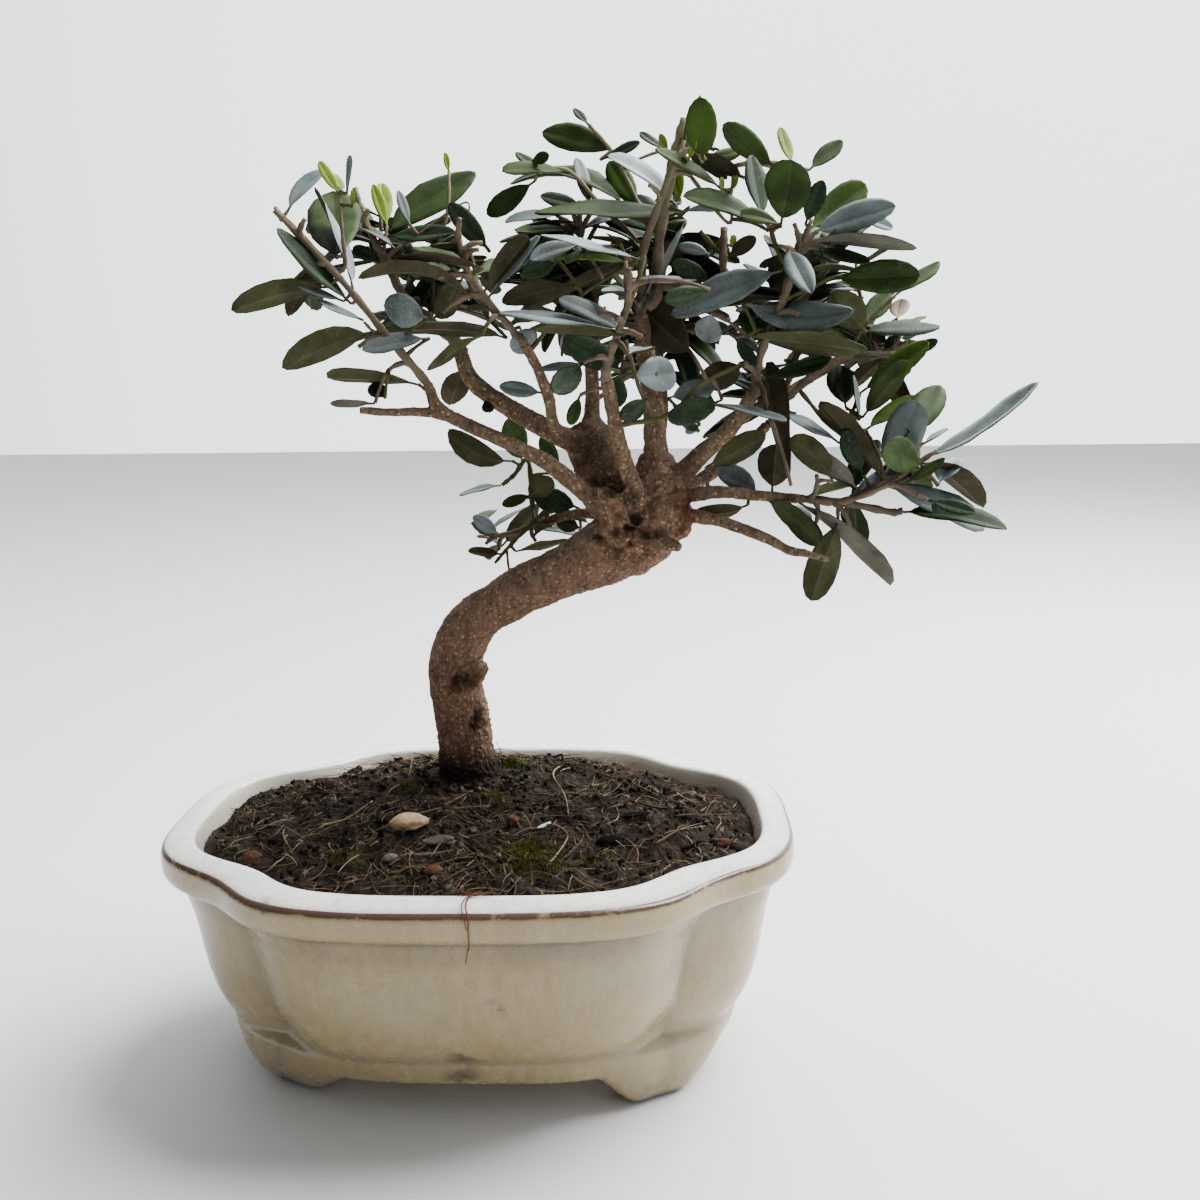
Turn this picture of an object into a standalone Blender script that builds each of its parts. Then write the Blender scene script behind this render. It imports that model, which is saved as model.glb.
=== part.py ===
# Olive bonsai in its glazed pot: a lobed oval pot on four corner feet, the soil in it,
# a leaning trunk with a swollen head, its boughs, and the masses of leaves they carry.
# Lengths are millimetres, measured from the middle of the pot's base; MM turns them into metres.

import math
import random

import bmesh
import bpy
import numpy as np
from mathutils import Quaternion, Vector

MM = 0.001
GAP = 0.3  # clearance where one piece meets the next
UP = Vector((0, 0, 1))
PLANT_OFFSET = (-44.6, 0.0, 0.0)  # moves the pot so that the whole plant is centred on the origin

# Pot
POT_HALF_LENGTH = 125.0
POT_HALF_WIDTH = 95.5
POT_SQUARENESS = 2.78  # power of the superellipse that the plan follows
LOBE_NOTCH_DEPTH = 10.8
LOBE_NOTCH_ANGLE = 0.607  # from the long axis, radians
LOBE_NOTCH_SPREAD = 0.217
POT_HEIGHT = 98.9
RIM_FALL = 1.2  # the rim's top slopes down to its outer edge
RIM_WIDTH = 12.3
LIP_HEIGHT = 11.3
WALL = 7.0
SKIRT_BOTTOM = 14.6
BASE_RECESS = 20.0
INNER_FLOOR = 28.0
LONG_SIDE_TAPER = 1.25  # the long sides lean in more than the ends
POT_FACETS = 56
# Height, and how far the wall stands in from the rim's edge there, from the skirt's edge to the lip
WALL_PROFILE = [
    (SKIRT_BOTTOM, 25.5),
    (19.0, 22.0),
    (29.0, 20.4),
    (34.0, 16.8),
    (46.0, 13.0),
    (65.0, 9.9),
    (76.0, 6.3),
    (85.6, 2.8),
]
LIP_BULGE = 0.3  # the lip's middle stands proud of the rim's edge
RECESS_INSET = 33.0
RIM_ROUND = (1.2, 1.0)  # inset and height of the rounding at the rim's outer edge
INNER_BEAD = (1.4, 4.0)  # the same at its inner edge
INNER_WAIST = 64.0  # height at which the inner wall turns steeper
INNER_LEAN = 5.0

# Feet: rings of one foot from the ground up, as height, half-length along the wall, half-depth,
# and distance from the pot's middle
FOOT_RINGS = [
    (0.0, 9.0, 5.0, 75.0),
    (4.0, 15.0, 6.8, 76.0),
    (10.0, 19.0, 7.6, 77.5),
    (18.0, 22.0, 8.0, 79.0),
]
FOOT_FACETS = 12

# Soil: domed up to the trunk, with low mounds of clods over it
SOIL_EDGE = 91.0
SOIL_CROWN = 101.7
SOIL_RINGS = 6
SOIL_SIDE_GAP = 0.7
SOIL_EDGE_GAP = 3.4  # between the soil's edge and the rim's inner edge
SOIL_DOME_POWER = 0.8
MOUND_HEIGHT = 1.5
MOUND_SPACING = 26.0
FURROW_HEIGHT = 0.9
FURROW_SPACING = 23.0
MOUND_FADE = 0.3  # share of the way out over which the mounds rise from the level seat
TRUNK_SEAT_RADIUS = 17.0

# Trunk: centre line and radius, from the flat cut on the soil to the swollen head
TRUNK_BASE = (-10.0, 38.0, SOIL_CROWN + GAP)
TRUNK = [
    (TRUNK_BASE, 14.0),
    ((-11, 37, 111), 11.9),
    ((-13, 35, 130), 11.2),
    ((-14.5, 33, 145), 11.0),
    ((-13, 31, 157), 10.6),
    ((-8, 28.5, 168), 10.1),
    ((1, 26, 177), 9.8),
    ((20, 20.5, 188), 9.8),
    ((36, 16.5, 196), 10.6),
    ((51, 12.5, 204), 13.5),
    ((64, 10, 213), 17.0),
    ((70, 8, 225), 15.0),
    ((71, 7, 236), 10.5),
]
TRUNK_FORK = [
    ((60, 11, 220), 12.0),
    ((52, 17, 234), 11.0),
    ((46, 22, 246), 11.4),
    ((42, 24, 254), 8.0),
]
TRUNK_KNOT = ((-6, 25.5, 149), 7.6, 7.0)  # swelling beside the old wound: place, radius, half-height
HEAD_STUBS = [
    ((57, -1, 214), (54, -8, 232), 7.2, 6.0),  # jagged stump at the front of the head
    ((68, -4, 212), (79, -11, 208), 4.4, 2.6),  # short snag
]
TRUNK_SIDES = 14

# Boughs: what each grows from, its radius at both ends, and its way to its end or into its leaves
BOUGHS = {
    "bough_left_low": (
        "trunk",
        4.0,
        2.1,
        [(57, 6, 214), (47, -2, 226), (34, -7, 238), (23, -12, 246), (-7, -18, 261), (-13, -20, 271)],
    ),
    "stub_left_low": (
        "bough_left_low",
        1.9,
        1.5,
        [(-5, -17.5, 260), (-16, -20.5, 262), (-26, -22, 262), (-38, -24, 263)],
    ),
    "bough_left_upper": (
        "trunk",
        4.6,
        3.0,
        [(46, 21, 246), (35, 19, 249), (19, 16, 258), (5, 14, 267), (-2, 14, 274), (-5, 14, 283)],
    ),
    "bough_left_inner": (
        "trunk",
        2.6,
        1.8,
        [(43, 18, 248), (33, -2, 254), (31, -12, 265), (27, -18, 278), (23, -22, 286)],
    ),
    "bough_top_left": (
        "trunk",
        3.6,
        2.8,
        [(45, 22, 248), (46, 25, 262), (46, 26, 278)],
    ),
    "bough_leader": (
        "trunk",
        5.0,
        3.0,
        [(71, 7, 228), (71, 4, 245), (70, 4, 264), (67, 4, 284), (66, 4, 295)],
    ),
    "bough_front": (
        "trunk",
        4.2,
        2.4,
        [(66, 2, 222), (61, -9, 235), (58, -14, 245), (55, -22, 261), (53, -28, 273)],
    ),
    "bough_right": (
        "trunk",
        4.2,
        2.6,
        [(76, 5, 230), (88, 0, 243), (100, -8, 255), (107, -13, 267)],
    ),
    "bough_right_upper": (
        "bough_right",
        2.2,
        1.8,
        [(101, -9, 256.5), (112, -5, 263), (121, -2, 267), (138, 6, 276)],
    ),
    "bough_right_low": (
        "trunk",
        3.0,
        1.9,
        [(72, 9, 224), (87, 2, 228), (98, -2, 229), (110, -5, 228), (126, -8, 227)],
    ),
    "stub_right_low": (
        "trunk",
        3.0,
        1.7,
        [(70, 6, 218), (79, 0, 220), (94, -8, 219), (111, -14, 214), (125, -17, 208), (135, -19, 203)],
    ),
    "bough_back": (
        "trunk",
        4.0,
        2.6,
        [(68, 12, 224), (71, 30, 238), (74, 42, 256), (74, 48, 274)],
    ),
    "bough_back_right": (
        "trunk",
        3.4,
        2.2,
        [(72, 10, 220), (88, 24, 230), (106, 34, 240), (118, 40, 252)],
    ),
    "bough_back_low": (
        "trunk",
        2.8,
        1.9,
        [(58, 14, 212), (48, 34, 216), (34, 46, 214), (22, 52, 210)],
    ),
}
BOUGH_SIDES = 7
BOUGH_STEPS = 2  # stations to each span of a bough
TRUNK_STEPS = 2
CLEAR = 0.4  # how far a limb's cutter stands proud of it

# Leaves
LEAF_SPACING = 12.5  # between pairs of leaves along a shoot
LEAF_ANGLE = 55.0  # between a leaf and its shoot, degrees
LEAF_WIDEST = 0.5  # share of the way along
LEAF_KEEL = 1.2
LEAF_ROOT = 0.6  # half-width where it joins its shoot
LEAF_SLENDERNESS = 0.36
LEAF_TILT = 0.8  # how far a blade may turn from level, as a share
LEAF_DROOP = 0.5  # how far a leaf bends down from root to tip, radians
LEAF_CLEAR = 3.4  # least distance between points on two leaves of a mass
LEAF_LENGTHS = (0.72, 1.0)  # shortest and longest, as a share of the mass's leaf length
LEAF_SHORTENED = 0.72  # tried where the full leaf has no room

# Shoots
STEM_START = 0.92  # a stem's radius, as a share of its bough's tip
STEM_TIP = 1.1
STEM_BARE = 14.0  # length without leaves at its foot
TWIG_RADII = (1.35, 0.95)
TWIG_BARE = 7.0
SIDE_TWIG_RADII = (1.2, 0.95)
SIDE_TWIG_LENGTHS = (16, 30)
SIDE_TWIG_CHANCE = 0.4
SIDE_TWIG_TURN = 2.4  # radians round the stem from one axil to the next
TWIG_STEPS = 2
TWIG_BEND = 0.45
TWIG_SIDES = 3
FORWARD_SHARE = 14.0  # how much nearer a twig that leans forward counts, in millimetres
MARGIN = 0.9  # kept on each side of the border between two masses
LIMB_MARGIN = 1.3
CROWN_TOP = 376.0  # nothing grows higher
CROWN_FOOT = POT_HEIGHT + 8.0  # nor lower

# Foliage masses: the bough each grows on, its leaf length, its stem's way, and the tips it reaches
MASSES = {
    "foliage_left_low": (
        "bough_left_low",
        42,
        [(-27, -24, 290), (-42, -28, 310), (-63, -31, 333)],
        [(-82, -29, 300), (-62, -40, 277), (-50, -12, 272), (-46, -36, 345), (-72, -18, 345)],
    ),
    "foliage_left_upper": (
        "bough_left_upper",
        42,
        [(-17, 15, 296), (-28, 16, 307), (-37, 19, 324), (-45, 20, 340)],
        [(-64, 34, 330), (-36, 46, 292), (-58, 24, 352), (-34, 18, 350), (-8, 36, 330), (0, 8, 350)],
    ),
    "foliage_left_inner": (
        "bough_left_inner",
        42,
        [(19, -24, 291), (5, -30, 310), (1, -32, 325)],
        [(-40, -46, 284), (-34, -52, 310), (6, -46, 345), (24, -50, 326), (2, -58, 290), (28, -22, 330)],
    ),
    "foliage_top_left": (
        "bough_top_left",
        44,
        [(48, 26, 291), (47, 25, 307), (42, 22, 330)],
        [
            (28, 18, 366), (4, 22, 338), (42, 16, 374), (8, 38, 356), (30, 62, 318), (60, 38, 362),
            (-6, 44, 310),
        ],
    ),
    "foliage_leader": (
        "bough_leader",
        44,
        [(66, 4, 306), (67, 4, 321), (74, 4, 340), (81, 4, 356)],
        [
            (88, 6, 375.5), (30, -22, 334), (100, 0, 366), (58, -16, 356), (62, -34, 300),
            (104, 20, 348), (36, -20, 310),
        ],
    ),
    "foliage_front": (
        "bough_front",
        36,
        [(55, -36, 284), (59, -44, 294), (62, -50, 306)],
        [
            (72, -62, 270), (86, -58, 284), (34, -62, 282), (52, -72, 296), (60, -70, 326),
            (84, -66, 312), (30, -60, 304),
        ],
    ),
    "foliage_right": (
        "bough_right",
        44,
        [(108, -15, 276), (112, -17, 289), (118, -19, 303), (123, -21, 320)],
        [
            (138, -12, 357), (114, -26, 352), (158, -24, 333), (166, -20, 317), (84, -50, 300),
            (138, -50, 296), (118, -42, 238), (96, -48, 330), (146, -6, 343),
        ],
    ),
    "foliage_right_upper": (
        "bough_right_upper",
        42,
        [(147, 9, 279), (156, 12, 281), (164, 14, 283)],
        [
            (174, 2, 310), (184, 10, 292), (186, 26, 282), (166, 22, 318), (160, 44, 296),
            (176, 4, 262), (150, 34, 262),
        ],
    ),
    "foliage_right_low": (
        "bough_right_low",
        48,
        [(141, -10, 226), (157, -12, 232), (168, -13, 240)],
        [
            (212, -12, 270), (205, -10, 215), (192, -28, 219), (160, -18, 194), (131, -6, 186),
            (136, -34, 262), (168, -28, 266), (182, 12, 266),
        ],
    ),
    "foliage_back": (
        "bough_back",
        42,
        [(74, 52, 290), (75, 54, 306), (76, 54, 322)],
        [
            (60, 84, 300), (92, 84, 298), (76, 78, 348), (48, 70, 340), (106, 66, 340), (76, 86, 272),
            (112, 74, 310), (82, 44, 356),
        ],
    ),
    "foliage_back_right": (
        "bough_back_right",
        42,
        [(124, 44, 262), (130, 46, 278), (134, 46, 296)],
        [
            (160, 66, 290), (122, 80, 288), (150, 60, 322), (118, 62, 330), (168, 58, 256),
            (134, 78, 262), (140, 28, 336),
        ],
    ),
    "foliage_back_low": (
        "bough_back_low",
        36,
        [(12, 55, 206), (2, 56, 204), (-5, 56, 206)],
        [
            (-20, 54, 222), (-14, 50, 192), (-2, 60, 180), (12, 62, 236), (16, 78, 214), (-8, 76, 210),
            (24, 44, 186),
        ],
    ),
}


def material(name, colour, roughness):
    made = bpy.data.materials.new(name)
    made.use_nodes = True
    surface = made.node_tree.nodes["Principled BSDF"]
    surface.inputs["Base Color"].default_value = (*colour, 1)
    surface.inputs["Roughness"].default_value = roughness
    surface.inputs["Metallic"].default_value = 0
    return made


def clear_scene():
    for old in list(bpy.data.objects):
        bpy.data.objects.remove(old, do_unlink=True)


def mesh_object(name, points, faces, finish=None):
    mesh = bpy.data.meshes.new(name)
    mesh.from_pydata([Vector(p) * MM for p in points], [], faces)
    mesh.update()
    made = bpy.data.objects.new(name, mesh)
    bpy.context.scene.collection.objects.link(made)
    if finish:
        mesh.materials.append(finish)
    return made


def loft(name, rings, finish=None):
    """A closed solid through rings of equal count, each counter-clockwise seen from the last ring."""
    count = len(rings[0])
    points = [p for ring in rings for p in ring]
    faces = [list(range(count))[::-1]]
    for level in range(len(rings) - 1):
        low = level * count
        for i in range(count):
            j = (i + 1) % count
            faces.append([low + i, low + j, low + count + j, low + count + i])
    last = (len(rings) - 1) * count
    faces.append(list(range(last, last + count)))
    return mesh_object(name, points, faces, finish)


def smooth_path(points, steps):
    """Catmull-Rom curve through the points, with steps stations to each span."""
    points = [Vector(p) for p in points]
    ends = [points[0] * 2 - points[1]] + points + [points[-1] * 2 - points[-2]]
    curve = []
    for a, b, c, d in zip(ends, ends[1:], ends[2:], ends[3:]):
        for step in range(steps):
            t = step / steps
            curve.append(
                0.5 * (2 * b + (c - a) * t + (2 * a - 5 * b + 4 * c - d) * t ** 2)
                + 0.5 * (3 * b - a - 3 * c + d) * t ** 3
            )
    return curve + [points[-1]]


def frames(path, first=None):
    """Tangent and two cross directions at each station, turned along the path without twist."""
    tangents = []
    for i in range(len(path)):
        ahead = path[min(i + 1, len(path) - 1)]
        behind = path[max(i - 1, 0)]
        tangents.append((ahead - behind).normalized())
    if first:
        tangents[0] = first
    across = tangents[0].cross(Vector((0, 1, 0.2))).normalized()
    found = []
    for i, tangent in enumerate(tangents):
        if i:
            across = tangents[i - 1].rotation_difference(tangent) @ across
        found.append((tangent, across, tangent.cross(across)))
    return found


def tube_rings(path, radii, sides, first=None):
    rings = []
    for centre, radius, (tangent, across, over) in zip(path, radii, frames(path, first)):
        ring = []
        for k in range(sides):
            angle = math.tau * k / sides
            ring.append(centre + radius * (math.cos(angle) * across + math.sin(angle) * over))
        rings.append(ring)
    return rings


def ball(name, centre, radius, half_height, levels=6, sides=12):
    centre = Vector(centre)
    rings = []
    for level in range(levels):
        tilt = math.pi * (level + 0.5) / levels - math.pi / 2
        ring = []
        for k in range(sides):
            angle = math.tau * k / sides
            ring.append(
                centre
                + Vector(
                    (
                        radius * math.cos(tilt) * math.cos(angle),
                        radius * math.cos(tilt) * math.sin(angle),
                        half_height * math.sin(tilt),
                    )
                )
            )
        rings.append(ring)
    return loft(name, rings)


def shells_of(shape):
    """The shape's separate shells, each a list of faces that meet along edges."""
    left = set(shape.faces)
    while left:
        front = [left.pop()]
        shell = []
        while front:
            face = front.pop()
            shell.append(face)
            for edge in face.edges:
                for other in edge.link_faces if len(edge.link_faces) == 2 else ():
                    if other in left:
                        left.remove(other)
                        front.append(other)
        yield shell


def keep_outer_shell(mesh):
    """Fills hollows that the joining sealed, and drops loose scraps: only the largest shell stays."""
    shape = bmesh.new()
    shape.from_mesh(mesh)
    shells = sorted(shells_of(shape), key=len)
    for shell in shells[:-1]:
        bmesh.ops.delete(shape, geom=shell, context="FACES")
    shape.to_mesh(mesh)
    shape.free()


def union(name, pieces, finish, solver="EXACT"):
    """Joins overlapping pieces into one body by one Boolean on their collection."""
    base, others = pieces[0], pieces[1:]
    if others:
        group = bpy.data.collections.new(name + "_pieces")
        bpy.context.scene.collection.children.link(group)
        for other in others:
            group.objects.link(other)
        join = base.modifiers.new("join", "BOOLEAN")
        join.operation = "UNION"
        join.operand_type = "COLLECTION"
        join.collection = group
        join.solver = solver
        graph = bpy.context.evaluated_depsgraph_get()
        whole = bpy.data.meshes.new_from_object(base.evaluated_get(graph))
        keep_outer_shell(whole)
        base.modifiers.remove(join)
        base.data = whole
        for other in others:
            bpy.data.objects.remove(other, do_unlink=True)
        bpy.data.collections.remove(group)
    base.name = name
    base.data.name = name
    base.data.materials.clear()
    base.data.materials.append(finish)
    return base


def cutter_for(obj, cutter):
    cutter.hide_render = True
    cutter.display_type = "WIRE"
    cut = obj.modifiers.new("clear_" + cutter.name, "BOOLEAN")
    cut.operation = "DIFFERENCE"
    cut.object = cutter


# ---- pot and soil


def plan_radius(angle, inset, notch=1.0):
    """Distance from the pot's middle to its lobed outline, that far in from the rim's edge."""
    along = abs(math.cos(angle)) / (POT_HALF_LENGTH - inset)
    across = abs(math.sin(angle)) / (POT_HALF_WIDTH - inset * LONG_SIDE_TAPER)
    radius = (along ** POT_SQUARENESS + across ** POT_SQUARENESS) ** (-1 / POT_SQUARENESS)
    from_axis = math.atan2(abs(math.sin(angle)), abs(math.cos(angle)))
    dent = math.exp(-(((from_axis - LOBE_NOTCH_ANGLE) / LOBE_NOTCH_SPREAD) ** 2))
    return radius - LOBE_NOTCH_DEPTH * notch * dent


def plan_ring(inset, height, notch=1.0):
    ring = []
    for k in range(POT_FACETS):
        angle = math.tau * k / POT_FACETS
        radius = plan_radius(angle, inset, notch)
        ring.append(Vector((radius * math.cos(angle), radius * math.sin(angle), height)))
    return ring


def inner_profile():
    """Inset and height of the pot's inner wall, from the rim's inner edge down to the floor."""
    bead_in, bead_down = INNER_BEAD
    return [
        (RIM_WIDTH, POT_HEIGHT),
        (RIM_WIDTH + bead_in, POT_HEIGHT - bead_down),
        (RIM_WIDTH + WALL, INNER_WAIST),
        (RIM_WIDTH + WALL + INNER_LEAN, INNER_FLOOR),
    ]


def foot(angle):
    """One corner foot, narrowest where it stands, under a notch of the wall."""
    out = Vector((math.cos(angle), math.sin(angle), 0))
    along = Vector((-math.sin(angle), math.cos(angle), 0))
    rings = []
    for height, half_length, half_depth, distance in FOOT_RINGS:
        ring = []
        for k in range(FOOT_FACETS):
            turn = math.tau * k / FOOT_FACETS
            ring.append(
                out * (distance + half_depth * math.cos(turn))
                + along * half_length * math.sin(turn)
                + UP * height
            )
        rings.append(ring)
    return loft("foot", rings)


def make_pot(finish):
    round_in, round_down = RIM_ROUND
    rings = [plan_ring(RECESS_INSET, BASE_RECESS), plan_ring(RECESS_INSET - 1.0, SKIRT_BOTTOM)]
    rings += [plan_ring(inset, height) for height, inset in WALL_PROFILE]
    rings.append(plan_ring(2 * LIP_BULGE, POT_HEIGHT - LIP_HEIGHT))
    rings.append(plan_ring(-LIP_BULGE, POT_HEIGHT - LIP_HEIGHT / 2))
    rings.append(plan_ring(0.0, POT_HEIGHT - RIM_FALL - round_down))
    rings.append(plan_ring(round_in, POT_HEIGHT - RIM_FALL))
    rings += [plan_ring(inset, height) for inset, height in inner_profile()]
    pieces = [loft("pot_body", rings)]
    for quarter in (LOBE_NOTCH_ANGLE, math.pi - LOBE_NOTCH_ANGLE):
        pieces += [foot(quarter), foot(quarter + math.pi)]
    return union("pot", pieces, finish)


def soil_mounds(x, y):
    """Height of the clods over the even dome: mounds on a slanting grid, crossed by furrows."""
    turn = math.tau / MOUND_SPACING
    mounds = math.sin(turn * x + 1.1) * math.sin(turn * y + 0.6)
    furrows = math.sin(math.tau * (x - y) / (FURROW_SPACING * math.sqrt(2)) + 2.0)
    return MOUND_HEIGHT * mounds + FURROW_HEIGHT * furrows


def soil_height(place, outward):
    """The soil's top at a place, that share of the way out from the trunk to the wall."""
    dome = max(math.cos(outward * math.pi / 2), 0.0) ** SOIL_DOME_POWER
    mounds = soil_mounds(place.x, place.y) * min(outward / MOUND_FADE, 1.0)
    return SOIL_EDGE + (SOIL_CROWN - SOIL_EDGE) * dome + mounds


def make_soil(finish):
    middle = Vector(TRUNK_BASE)
    edge = plan_ring(RIM_WIDTH + SOIL_EDGE_GAP, SOIL_EDGE)
    for place in edge:
        place.z = soil_height(place, 1.0)
    rings = [
        plan_ring(RIM_WIDTH + WALL + INNER_LEAN + SOIL_SIDE_GAP, INNER_FLOOR + GAP),
        plan_ring(RIM_WIDTH + WALL + SOIL_SIDE_GAP, INNER_WAIST),
        edge,
    ]
    for level in range(SOIL_RINGS - 1, -1, -1):
        outward = level / SOIL_RINGS
        ring = []
        for k, rim in enumerate(edge):
            angle = math.tau * k / POT_FACETS
            seat = middle + TRUNK_SEAT_RADIUS * Vector((math.cos(angle), math.sin(angle), 0))
            place = seat.lerp(rim, outward)
            place.z = soil_height(place, outward)
            ring.append(place)
        rings.append(ring)
    return loft("soil", rings, finish)


# ---- trunk and boughs


def limb_solid(name, path, radii, sides, grow=0.0, first=None):
    radii = [radius + grow for radius in radii]
    return loft(name, tube_rings(path, radii, sides, first))


def spread(values, steps):
    """Values eased between the stations of a smooth path."""
    found = []
    for a, b in zip(values, values[1:]):
        found += [a + (b - a) * step / steps for step in range(steps)]
    return found + [values[-1]]


def trunk_pieces(grow=0.0):
    path = smooth_path([place for place, radius in TRUNK], TRUNK_STEPS)
    radii = spread([radius for place, radius in TRUNK], TRUNK_STEPS)
    pieces = [limb_solid("trunk_stem", path, radii, TRUNK_SIDES, grow, UP)]
    path = smooth_path([place for place, radius in TRUNK_FORK], TRUNK_STEPS)
    radii = spread([radius for place, radius in TRUNK_FORK], TRUNK_STEPS)
    pieces.append(limb_solid("trunk_fork", path, radii, TRUNK_SIDES, grow))
    place, radius, half_height = TRUNK_KNOT
    pieces.append(ball("trunk_knot", place, radius + grow, half_height + grow))
    for start, end, thick, thin in HEAD_STUBS:
        path = [Vector(start), Vector(end)]
        pieces.append(limb_solid("trunk_stub", path, [thick, thin], BOUGH_SIDES, grow))
    return pieces


def bough_line(name):
    """Stations along a bough, with its radius at each."""
    parent, thick, thin, way = BOUGHS[name]
    path = smooth_path(way, BOUGH_STEPS)
    last = len(path) - 1
    return path, [thick + (thin - thick) * i / last for i in range(len(path))]


def make_bough(name, cutters, finish):
    path, radii = bough_line(name)
    bough = limb_solid(name, path, radii, BOUGH_SIDES)
    bough.data.materials.append(finish)
    cutter_for(bough, cutters[BOUGHS[name][0]])
    return bough


def limb_cutters():
    """Swollen copies of the limbs that others grow from; each cuts a seat with clearance."""
    cutters = {"trunk": union("trunk_clearance", trunk_pieces(CLEAR), None)}
    for name in sorted({parent for parent, *rest in BOUGHS.values()} - {"trunk"}):
        path, radii = bough_line(name)
        cutters[name] = limb_solid(name + "_clearance", path, radii, BOUGH_SIDES, CLEAR)
    return cutters


# ---- foliage


def curve_to(start, heading, end, steps):
    """A bent way from start to end that sets off along heading."""
    turn = start + heading * (end - start).length * TWIG_BEND
    way = []
    for i in range(steps + 1):
        t = i / steps
        way.append((1 - t) ** 2 * start + 2 * t * (1 - t) * turn + t * t * end)
    return way


class Shoot:
    """A stem or twig: its stations, and its radius at both ends."""

    def __init__(self, path, thick, thin, tip_leaf=None):
        self.path = path
        self.thick = thick
        self.thin = thin
        self.tip_leaf = tip_leaf  # the point that the leaf at its end reaches

    def radii(self):
        last = len(self.path) - 1
        return [self.thick + (self.thin - self.thick) * i / last for i in range(last + 1)]

    def length(self):
        return sum((b - a).length for a, b in zip(self.path, self.path[1:]))

    def at(self, distance):
        """Point and heading at a distance along the shoot."""
        for a, b in zip(self.path, self.path[1:]):
            span = (b - a).length
            if distance <= span:
                return a.lerp(b, distance / span), (b - a).normalized()
            distance -= span
        return self.path[-1], (self.path[-1] - self.path[-2]).normalized()


def samples(path, step=4.0):
    found = []
    for a, b in zip(path, path[1:]):
        count = max(1, int((b - a).length / step))
        found += [a.lerp(b, i / count) for i in range(count)]
    return found + [path[-1]]


def stem_of(name):
    bough, leaf, way, tips = MASSES[name]
    path, radii = bough_line(bough)
    heading = (path[-1] - path[-2]).normalized()
    start = path[-1] + heading * GAP
    first = start + heading * 3.0
    points = [start, first] + smooth_path([first] + way, 2)[1:]
    return Shoot(points, radii[-1] * STEM_START, STEM_TIP)


def reaching_twig(stem, tip, leaf):
    """A twig from the stem whose end leaf reaches the tip."""
    tip = Vector(tip)
    total = stem.length()
    best = None
    for i in range(2, 20):
        distance = total * i / 20
        place, heading = stem.at(distance)
        off = (tip - place).length
        lean = (tip - place).normalized().dot(heading)
        cost = off - FORWARD_SHARE * lean
        if best is None or cost < best[0]:
            best = (cost, place, heading)
    cost, place, heading = best
    away = (tip - place).length
    blade = min(leaf, away * 0.8)
    if away < leaf * 1.15:
        blade = away * 0.72
    end = tip - (tip - place).normalized() * blade
    path = curve_to(place, (heading + (tip - place).normalized()).normalized(), end, TWIG_STEPS)
    return Shoot(path, *TWIG_RADII, tip)


class Space:
    """The room each mass keeps to: nearer to its own shoots than to any other mass's, clear of every limb."""

    def __init__(self, skeletons, limbs):
        self.skeletons = {name: np.array(points) for name, points in skeletons.items()}
        self.limbs = np.array([list(place) + [radius] for place, radius in limbs])

    def holds(self, name, points):
        points = np.array([list(p) for p in points])
        own = self.nearest(points, self.skeletons[name])
        for other, skeleton in self.skeletons.items():
            if other != name and (own + MARGIN > self.nearest(points, skeleton) - MARGIN).any():
                return False
        gaps = np.linalg.norm(points[:, None, :] - self.limbs[None, :, :3], axis=2)
        if (gaps < self.limbs[None, :, 3] + LIMB_MARGIN).any():
            return False
        heights = points[:, 2]
        return bool((heights > CROWN_FOOT).all() and (heights < CROWN_TOP).all())

    @staticmethod
    def nearest(points, cloud):
        return np.linalg.norm(points[:, None, :] - cloud[None], axis=2).min(axis=1)


class Leaf:
    def __init__(self, root, heading, length, lean):
        self.root = root
        self.heading = heading
        self.length = length
        face = UP - heading * UP.dot(heading) + lean
        face -= heading * face.dot(heading)
        self.face = face.normalized()
        self.side = heading.cross(self.face).normalized()

    def centre(self, share):
        bend = LEAF_DROOP * share
        forward = math.sin(bend) / LEAF_DROOP
        down = (1 - math.cos(bend)) / LEAF_DROOP
        return self.root + self.length * (forward * self.heading - down * self.face)

    def outline(self):
        """Points along the rib and both edges, to test where the leaf lies."""
        found = []
        for share in (0.2, 0.35, 0.5, 0.65, 0.8, 1.0):
            width = 0.5 * min(share, 1 - share) / LEAF_WIDEST
            reach = self.side * width * self.length * LEAF_SLENDERNESS
            middle = self.centre(share)
            found += [middle, middle + reach, middle - reach]
        return found

    def solid(self):
        points = []
        root = self.root - self.heading * 0.5
        for middle, half, keel in (
            (root, LEAF_ROOT, LEAF_ROOT),
            (self.centre(LEAF_WIDEST), self.length * LEAF_SLENDERNESS / 2, LEAF_KEEL),
        ):
            reach = self.side * half
            points += [middle - reach, middle + reach, middle - self.face * keel]
        points.append(self.centre(1.0))
        faces = [[2, 1, 0]]
        for a, b in ((0, 1), (1, 2), (2, 0)):
            faces += [[a, b, 3 + b, 3 + a], [3 + a, 3 + b, 6]]
        return mesh_object("leaf", points, faces)

    def touches(self, others):
        """Whether the blade comes within a leaf's thickness of another leaf."""
        mine = np.array([list(p) for p in self.outline()])
        for other in others:
            if (other.root - self.root).length > other.length + self.length:
                continue
            theirs = np.array([list(p) for p in other.outline()])
            if np.linalg.norm(mine[:, None] - theirs[None], axis=2).min() < LEAF_CLEAR:
                return True
        return False


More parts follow.
